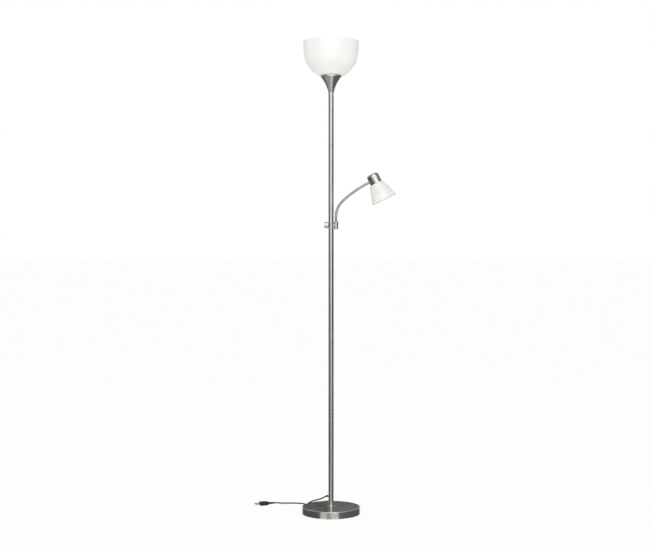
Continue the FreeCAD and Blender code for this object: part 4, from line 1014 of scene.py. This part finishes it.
# %% Lamps
def lamp(prefix, cap_radius, cap_length, globe_radius, neck, length):
    foot = cap_radius * 0.36
    throat = globe_radius * 0.8
    flare = (cap_radius * 1.1, cap_length + cap_radius * 0.1)
    screw_cap = turned(f"{prefix}_screw_cap", [
        (0, 0), (foot, 0), (foot, cap_length * 0.06), (cap_radius, cap_length * 0.2),
        (cap_radius, cap_length), flare, (throat, neck, -globe_radius * 2.4, 12), (0, neck),
    ], 72, 0.3)
    equator = length - globe_radius
    globe = turned(f"{prefix}_bulb", [
        (0, neck), (throat, neck),
        (globe_radius, equator, globe_radius * 1.3, 10), (0, length, globe_radius, 24),
    ], 72, 0.3, 2, 50, 45)
    return screw_cap, globe


small_cap, small_globe = lamp("reader_lamp", 7, 26.5, 22.5, 42, 78)
for piece in (small_cap, small_globe):
    on_head(put(piece, (0, 0, mouth + 25.7), (0, pi, 0)))
dress(small_cap, "white_plastic", "reader", "reader_lamp_cap")
dress(small_globe, "frosted_glass", "reader", "reader_lamp_globe")

# %% [markdown]
# ## The uplighter
# The pole ends in a trumpet of spun sheet that swells into a shallow cup. It is thin and open
# inside. The bowl stands on the flat plate that closes its top.

# %% Trumpet cone
CONE_FOOT = 1607
trumpet = turned("trumpet", [
    (10.1, CONE_FOOT), (11, CONE_FOOT), (40, CONE_FOOT + 57, -120, 24), (40, CONE_FOOT + 61),
    (39.2, CONE_FOOT + 61), (39.2, CONE_FOOT + 57.4), (10.1, CONE_FOOT, 120.8, 24),
], 128, 0.25, 2, 40)
dress(trumpet, "turned_nickel", "stand", "top_cone", slot="spun_nickel")

# %% [markdown]
# The bowl is pressed opal glass, three millimetres thick. Its flat foot turns up through a round
# heel, runs out in a straight flank, and turns up again at the shoulder into a nearly upright
# wall. The rim is ground and then fire-polished.

# %% Opal bowl
BOWL_FOOT = 1670.5


def raised(points, height):
    return [(across, up + height, *arc) for across, up, *arc in points]


bowl = turned("opal_bowl", raised([
    (21.2, 0), (50, 0), (66, 10, 36.5, 8), (74.5, 19.25), (83, 28.5),
    (100, 62.5, 70.7, 14), (107, 129.5, 387, 14), (104, 129.5), (97.05, 63.07, -384, 14),
    (80.78, 30.52, -67.7, 14), (72.3, 21.28),
    (63.8, 12.04), (49.56, 2.97, -33.5, 8), (21.2, 3),
], BOWL_FOOT), 160, 0.9, 4, 50, 45)
dress(bowl, "opal_glass", "stand", "top_shade")

# %% Lampholder, its ring and its lamp
HOLDER_FOOT = BOWL_FOOT - 1
socket = turned("bowl_socket", raised([
    (5.05, 0), (20, 0), (20, 46), (14, 46), (14, 18), (5.05, 18),
], HOLDER_FOOT), 80, 0.6)
dress(socket, "white_plastic", "stand", "top_lampholder")
clamp = fluted_ring("bowl_clamp_ring", 28, 20.1, BOWL_FOOT + 3, 9, 36, 0.9)
dress(clamp, "white_plastic", "stand", "top_shade_ring")
big_cap, big_globe = lamp("bowl_lamp", 13.2, 28.5, 27.5, 52, 97.5)
for piece in (big_cap, big_globe):
    put(piece, (0, 0, HOLDER_FOOT + 18.3))
dress(big_cap, "white_plastic", "stand", "top_lamp_cap")
dress(big_globe, "frosted_glass", "stand", "top_lamp_globe")

# %% [markdown]
# ## The mains cord
# The cord leaves the pole low down at the back, runs over the base's edge and lies on the floor.
# It is one length of 1.7 metres, and what the lamp doesn't need lies behind the base as a round
# coil of two layers with a tie, with the plug at the end. A cord is a curve with one spline. Its
# points only steer it, so a few of them are enough for a loose bend, and each turn of the coil
# takes two dozen that a formula places.

# %% The cord's route
CORD_RADIUS = 2.7
OUTLET_HEIGHT = 65
OUTLET_TURN = radians(127.1)
COIL_MIDDLE = (-5, 154.5)
COIL_INNER = 20.5
COIL_STEP = 2 * CORD_RADIUS + 0.5
COIL_TURNS = 3
COIL_LOW = 1.6 + CORD_RADIUS


def towards_outlet(far, height):
    return (cos(OUTLET_TURN) * far, sin(OUTLET_TURN) * far, height)


def in_coil(turn):
    """Middle of the cord after some turns: in along the upper layer, down, and out along the lower."""
    if turn < COIL_TURNS:
        radius = COIL_INNER + COIL_STEP * (COIL_TURNS - turn)
        height = COIL_LOW + COIL_STEP
    elif turn < COIL_TURNS + 0.5:
        share = (turn - COIL_TURNS) / 0.5
        radius = COIL_INNER - COIL_STEP * 0.25 * sin(pi * share)
        height = COIL_LOW + COIL_STEP * (1 + cos(pi * share)) / 2
    else:
        radius = COIL_INNER + COIL_STEP * (turn - COIL_TURNS - 0.5)
        height = COIL_LOW
    angle = pi / 2 - 2 * pi * turn
    return (COIL_MIDDLE[0] + radius * cos(angle), COIL_MIDDLE[1] + radius * sin(angle), height)


route = [towards_outlet(11.8, OUTLET_HEIGHT), towards_outlet(27.8, OUTLET_HEIGHT)]
route += [towards_outlet(57.8, 48.5), towards_outlet(115, 31.4)]
route += [(-86.5, 120, 18.5), (-90.5, 154, 8.5), (-68, 179, 5.6), (-40, 192.4, 7.4)]
x, y, z = in_coil(0)
route += [(x - 5.4, y, z)]
steps = 24
total = 2 * COIL_TURNS + 0.5
route += [in_coil(step / steps) for step in range(int(total * steps) + 1)]
x, y, z = in_coil(total)
route += [(x - 5.4, y, z), (x - 25.4, y, z)]
route += [(-60, 123, 3.2), (-90, 153, 2.7), (-110, 183, 2.7), (-138, 191.5, 2.7), (-168, 191.5, 2.7)]
route += [(-196, 185.5, 3.6), (-213, 179.5, 6.9), (-225, 175.9, 6.9)]
print("the cord's line has", len(route), "points")

# %% Cord
flex = line_through("mains_cord", [Vector(place) * MM for place in route], "NURBS")
line = flex.data.splines[0]
line.order_u = 3
line.use_endpoint_u = True
line.resolution_u = 6
flex.data.dimensions = "3D"
bare_line = bpy.data.meshes.new_from_object(flex)
cord_middle = [vertex.co.copy() for vertex in bare_line.vertices]
bpy.data.meshes.remove(bare_line)
flex.data.bevel_depth = CORD_RADIUS * MM
flex.data.bevel_resolution = 5
flex.data.use_fill_caps = True
flex.data.materials.append(finishes["black_cord"])
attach(flex, "stand")
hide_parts("cord_drop", "cord_coil", "cord_tail")

# %% [markdown]
# The plug is the flat two-pin kind, moulded on to the cord, with a ribbed strain relief that lets
# the cord bend without breaking. Its body is a block whose back is drawn in, with every edge
# rounded, and its two pins are rods with rounded ends. All of it is made lying along X and then
# turned to the cord's direction.

# %% Plug
last_step = Vector(route[-1]) - Vector(route[-2])
plug_turn = atan2(last_step.y, last_step.x)


def on_plug(piece):
    put(piece, route[-1], (0, 0, plug_turn))


shell = block("plug_shell", (40, 0, 0), (36, 26, 13.8))
edit()
bpy.ops.mesh.bisect(plane_co=(34.6 * MM, 0, 0), plane_no=(1, 0, 0))
choose(shell.data.vertices, lambda vertex: vertex.co.x < 23 * MM)
bpy.ops.transform.resize(value=(1, 0.55, 0.92), center_override=(22 * MM, 0, 0))
done()
soften(shell, 2.4, 5, 15)
section = [(2.75, 0)]
for index, (crest, valley) in enumerate([(3.5, 3.2), (3.7, 3.35), (3.95, 3.5), (4.15, 3.65), (4.35, 3.85)]):
    start = 3.8 * index
    section += [(crest, start), (crest, start + 2.2), (valley, start + 2.4), (valley, start + 3.6)]
boot = spun("plug_relief", section + [(4.5, 19), (4.6, 25), (2.75, 25)], 48)
combine(shell, put(boot, turn=(0, radians(90), 0)), "UNION")
smooth(shell, 40)
on_plug(shell)
dress(shell, "black_plastic", "stand", "plug_body")

pins = []
for side in (-9.3, 9.3):
    pin = rod("plug_pin", 2, (58, side, 0), (77, side, 0), 32)
    soften(pin, 1.2, 4)
    pins.append(pin)
let_go()
for pin in pins:
    pin.select_set(True)
bpy.context.view_layer.objects.active = pins[0]
bpy.ops.object.join()
pair = bpy.context.object
pair.name = "plug_contacts"
smooth(pair)
on_plug(pair)
dress(pair, "zinc_steel", "stand", "plug_pins")

# %% [markdown]
# The coil's tie is a flat plastic band that goes once round all the turns. From the end it is a
# rounded frame, so it starts as a block whose ends are taken off and whose sides get a thin wall.

# %% Coil tie
near = COIL_INNER - COIL_STEP * 0.25 - CORD_RADIUS - 0.7
far = COIL_INNER + COIL_STEP * COIL_TURNS + CORD_RADIUS + 0.7
tie_low = 0.9
tie_high = COIL_LOW + COIL_STEP + CORD_RADIUS + 0.7
middle = (COIL_MIDDLE[0] + (near + far) / 2, COIL_MIDDLE[1], (tie_low + tie_high) / 2)
tie = block("coil_band", middle, (far - near + 1.6, 9, tie_high - tie_low + 1.6))


def runs_across(edge):
    a, b = (tie.data.vertices[index].co for index in edge.vertices)
    return abs(a.y - b.y) > 1 * MM


choose(tie.data.edges, runs_across)
bpy.ops.mesh.bevel(offset=3.2 * MM, segments=6, affect="EDGES")
choose(tie.data.polygons, lambda face: abs(face.normal.y) > 0.9)
bpy.ops.mesh.delete(type="FACE")
done()
wall = tie.modifiers.new("wall", "SOLIDIFY")
wall.thickness = 0.8 * MM
wall.offset = -1
apply_all(tie)
soften(tie, 0.2, 2, 50)
smooth(tie)
dress(tie, "black_plastic", "stand", "coil_tie")

# %% [markdown]
# Where the cord comes out of the pole, a rubber piece keeps it from bending sharply. Its flange
# closes the hole, and beyond it a tapered sleeve with grooves bends together with the cord. It is
# spun upright, laid down, and then follows the cord's own line, read from the curve above.

# %% Strain relief
def sleeve(along):
    return 4.4 - 1.1 * along / 20


section = [(2.75, -2.4), (5.8, -2.4), (5.8, 0), (sleeve(0), 0)]
for groove in (2.6, 6.0, 9.4, 12.8, 16.2):
    section += [(sleeve(groove), groove), (sleeve(groove) - 0.6, groove + 0.25)]
    section += [(sleeve(groove + 1.4) - 0.6, groove + 1.15), (sleeve(groove + 1.4), groove + 1.4)]
section += [(sleeve(20), 20), (2.75, 20)]
relief = spun("cord_relief", section, 48)
soften(relief, 0.3, 2, 40)
put(relief, turn=(0, radians(90), 0))
relief_line = line_through("relief_line", cord_middle)
lay_along(relief, relief_line)
bpy.data.objects.remove(relief_line)
combine(relief, rod("pole_room", 10.05, (0, 0, 50), (0, 0, 80), 96), "DIFFERENCE")
smooth(relief, 40)
dress(relief, "black_rubber", "stand", "cord_grommet")

# %% Where the cord leaves the pole
cord_exit = Vector(route[0]) * MM
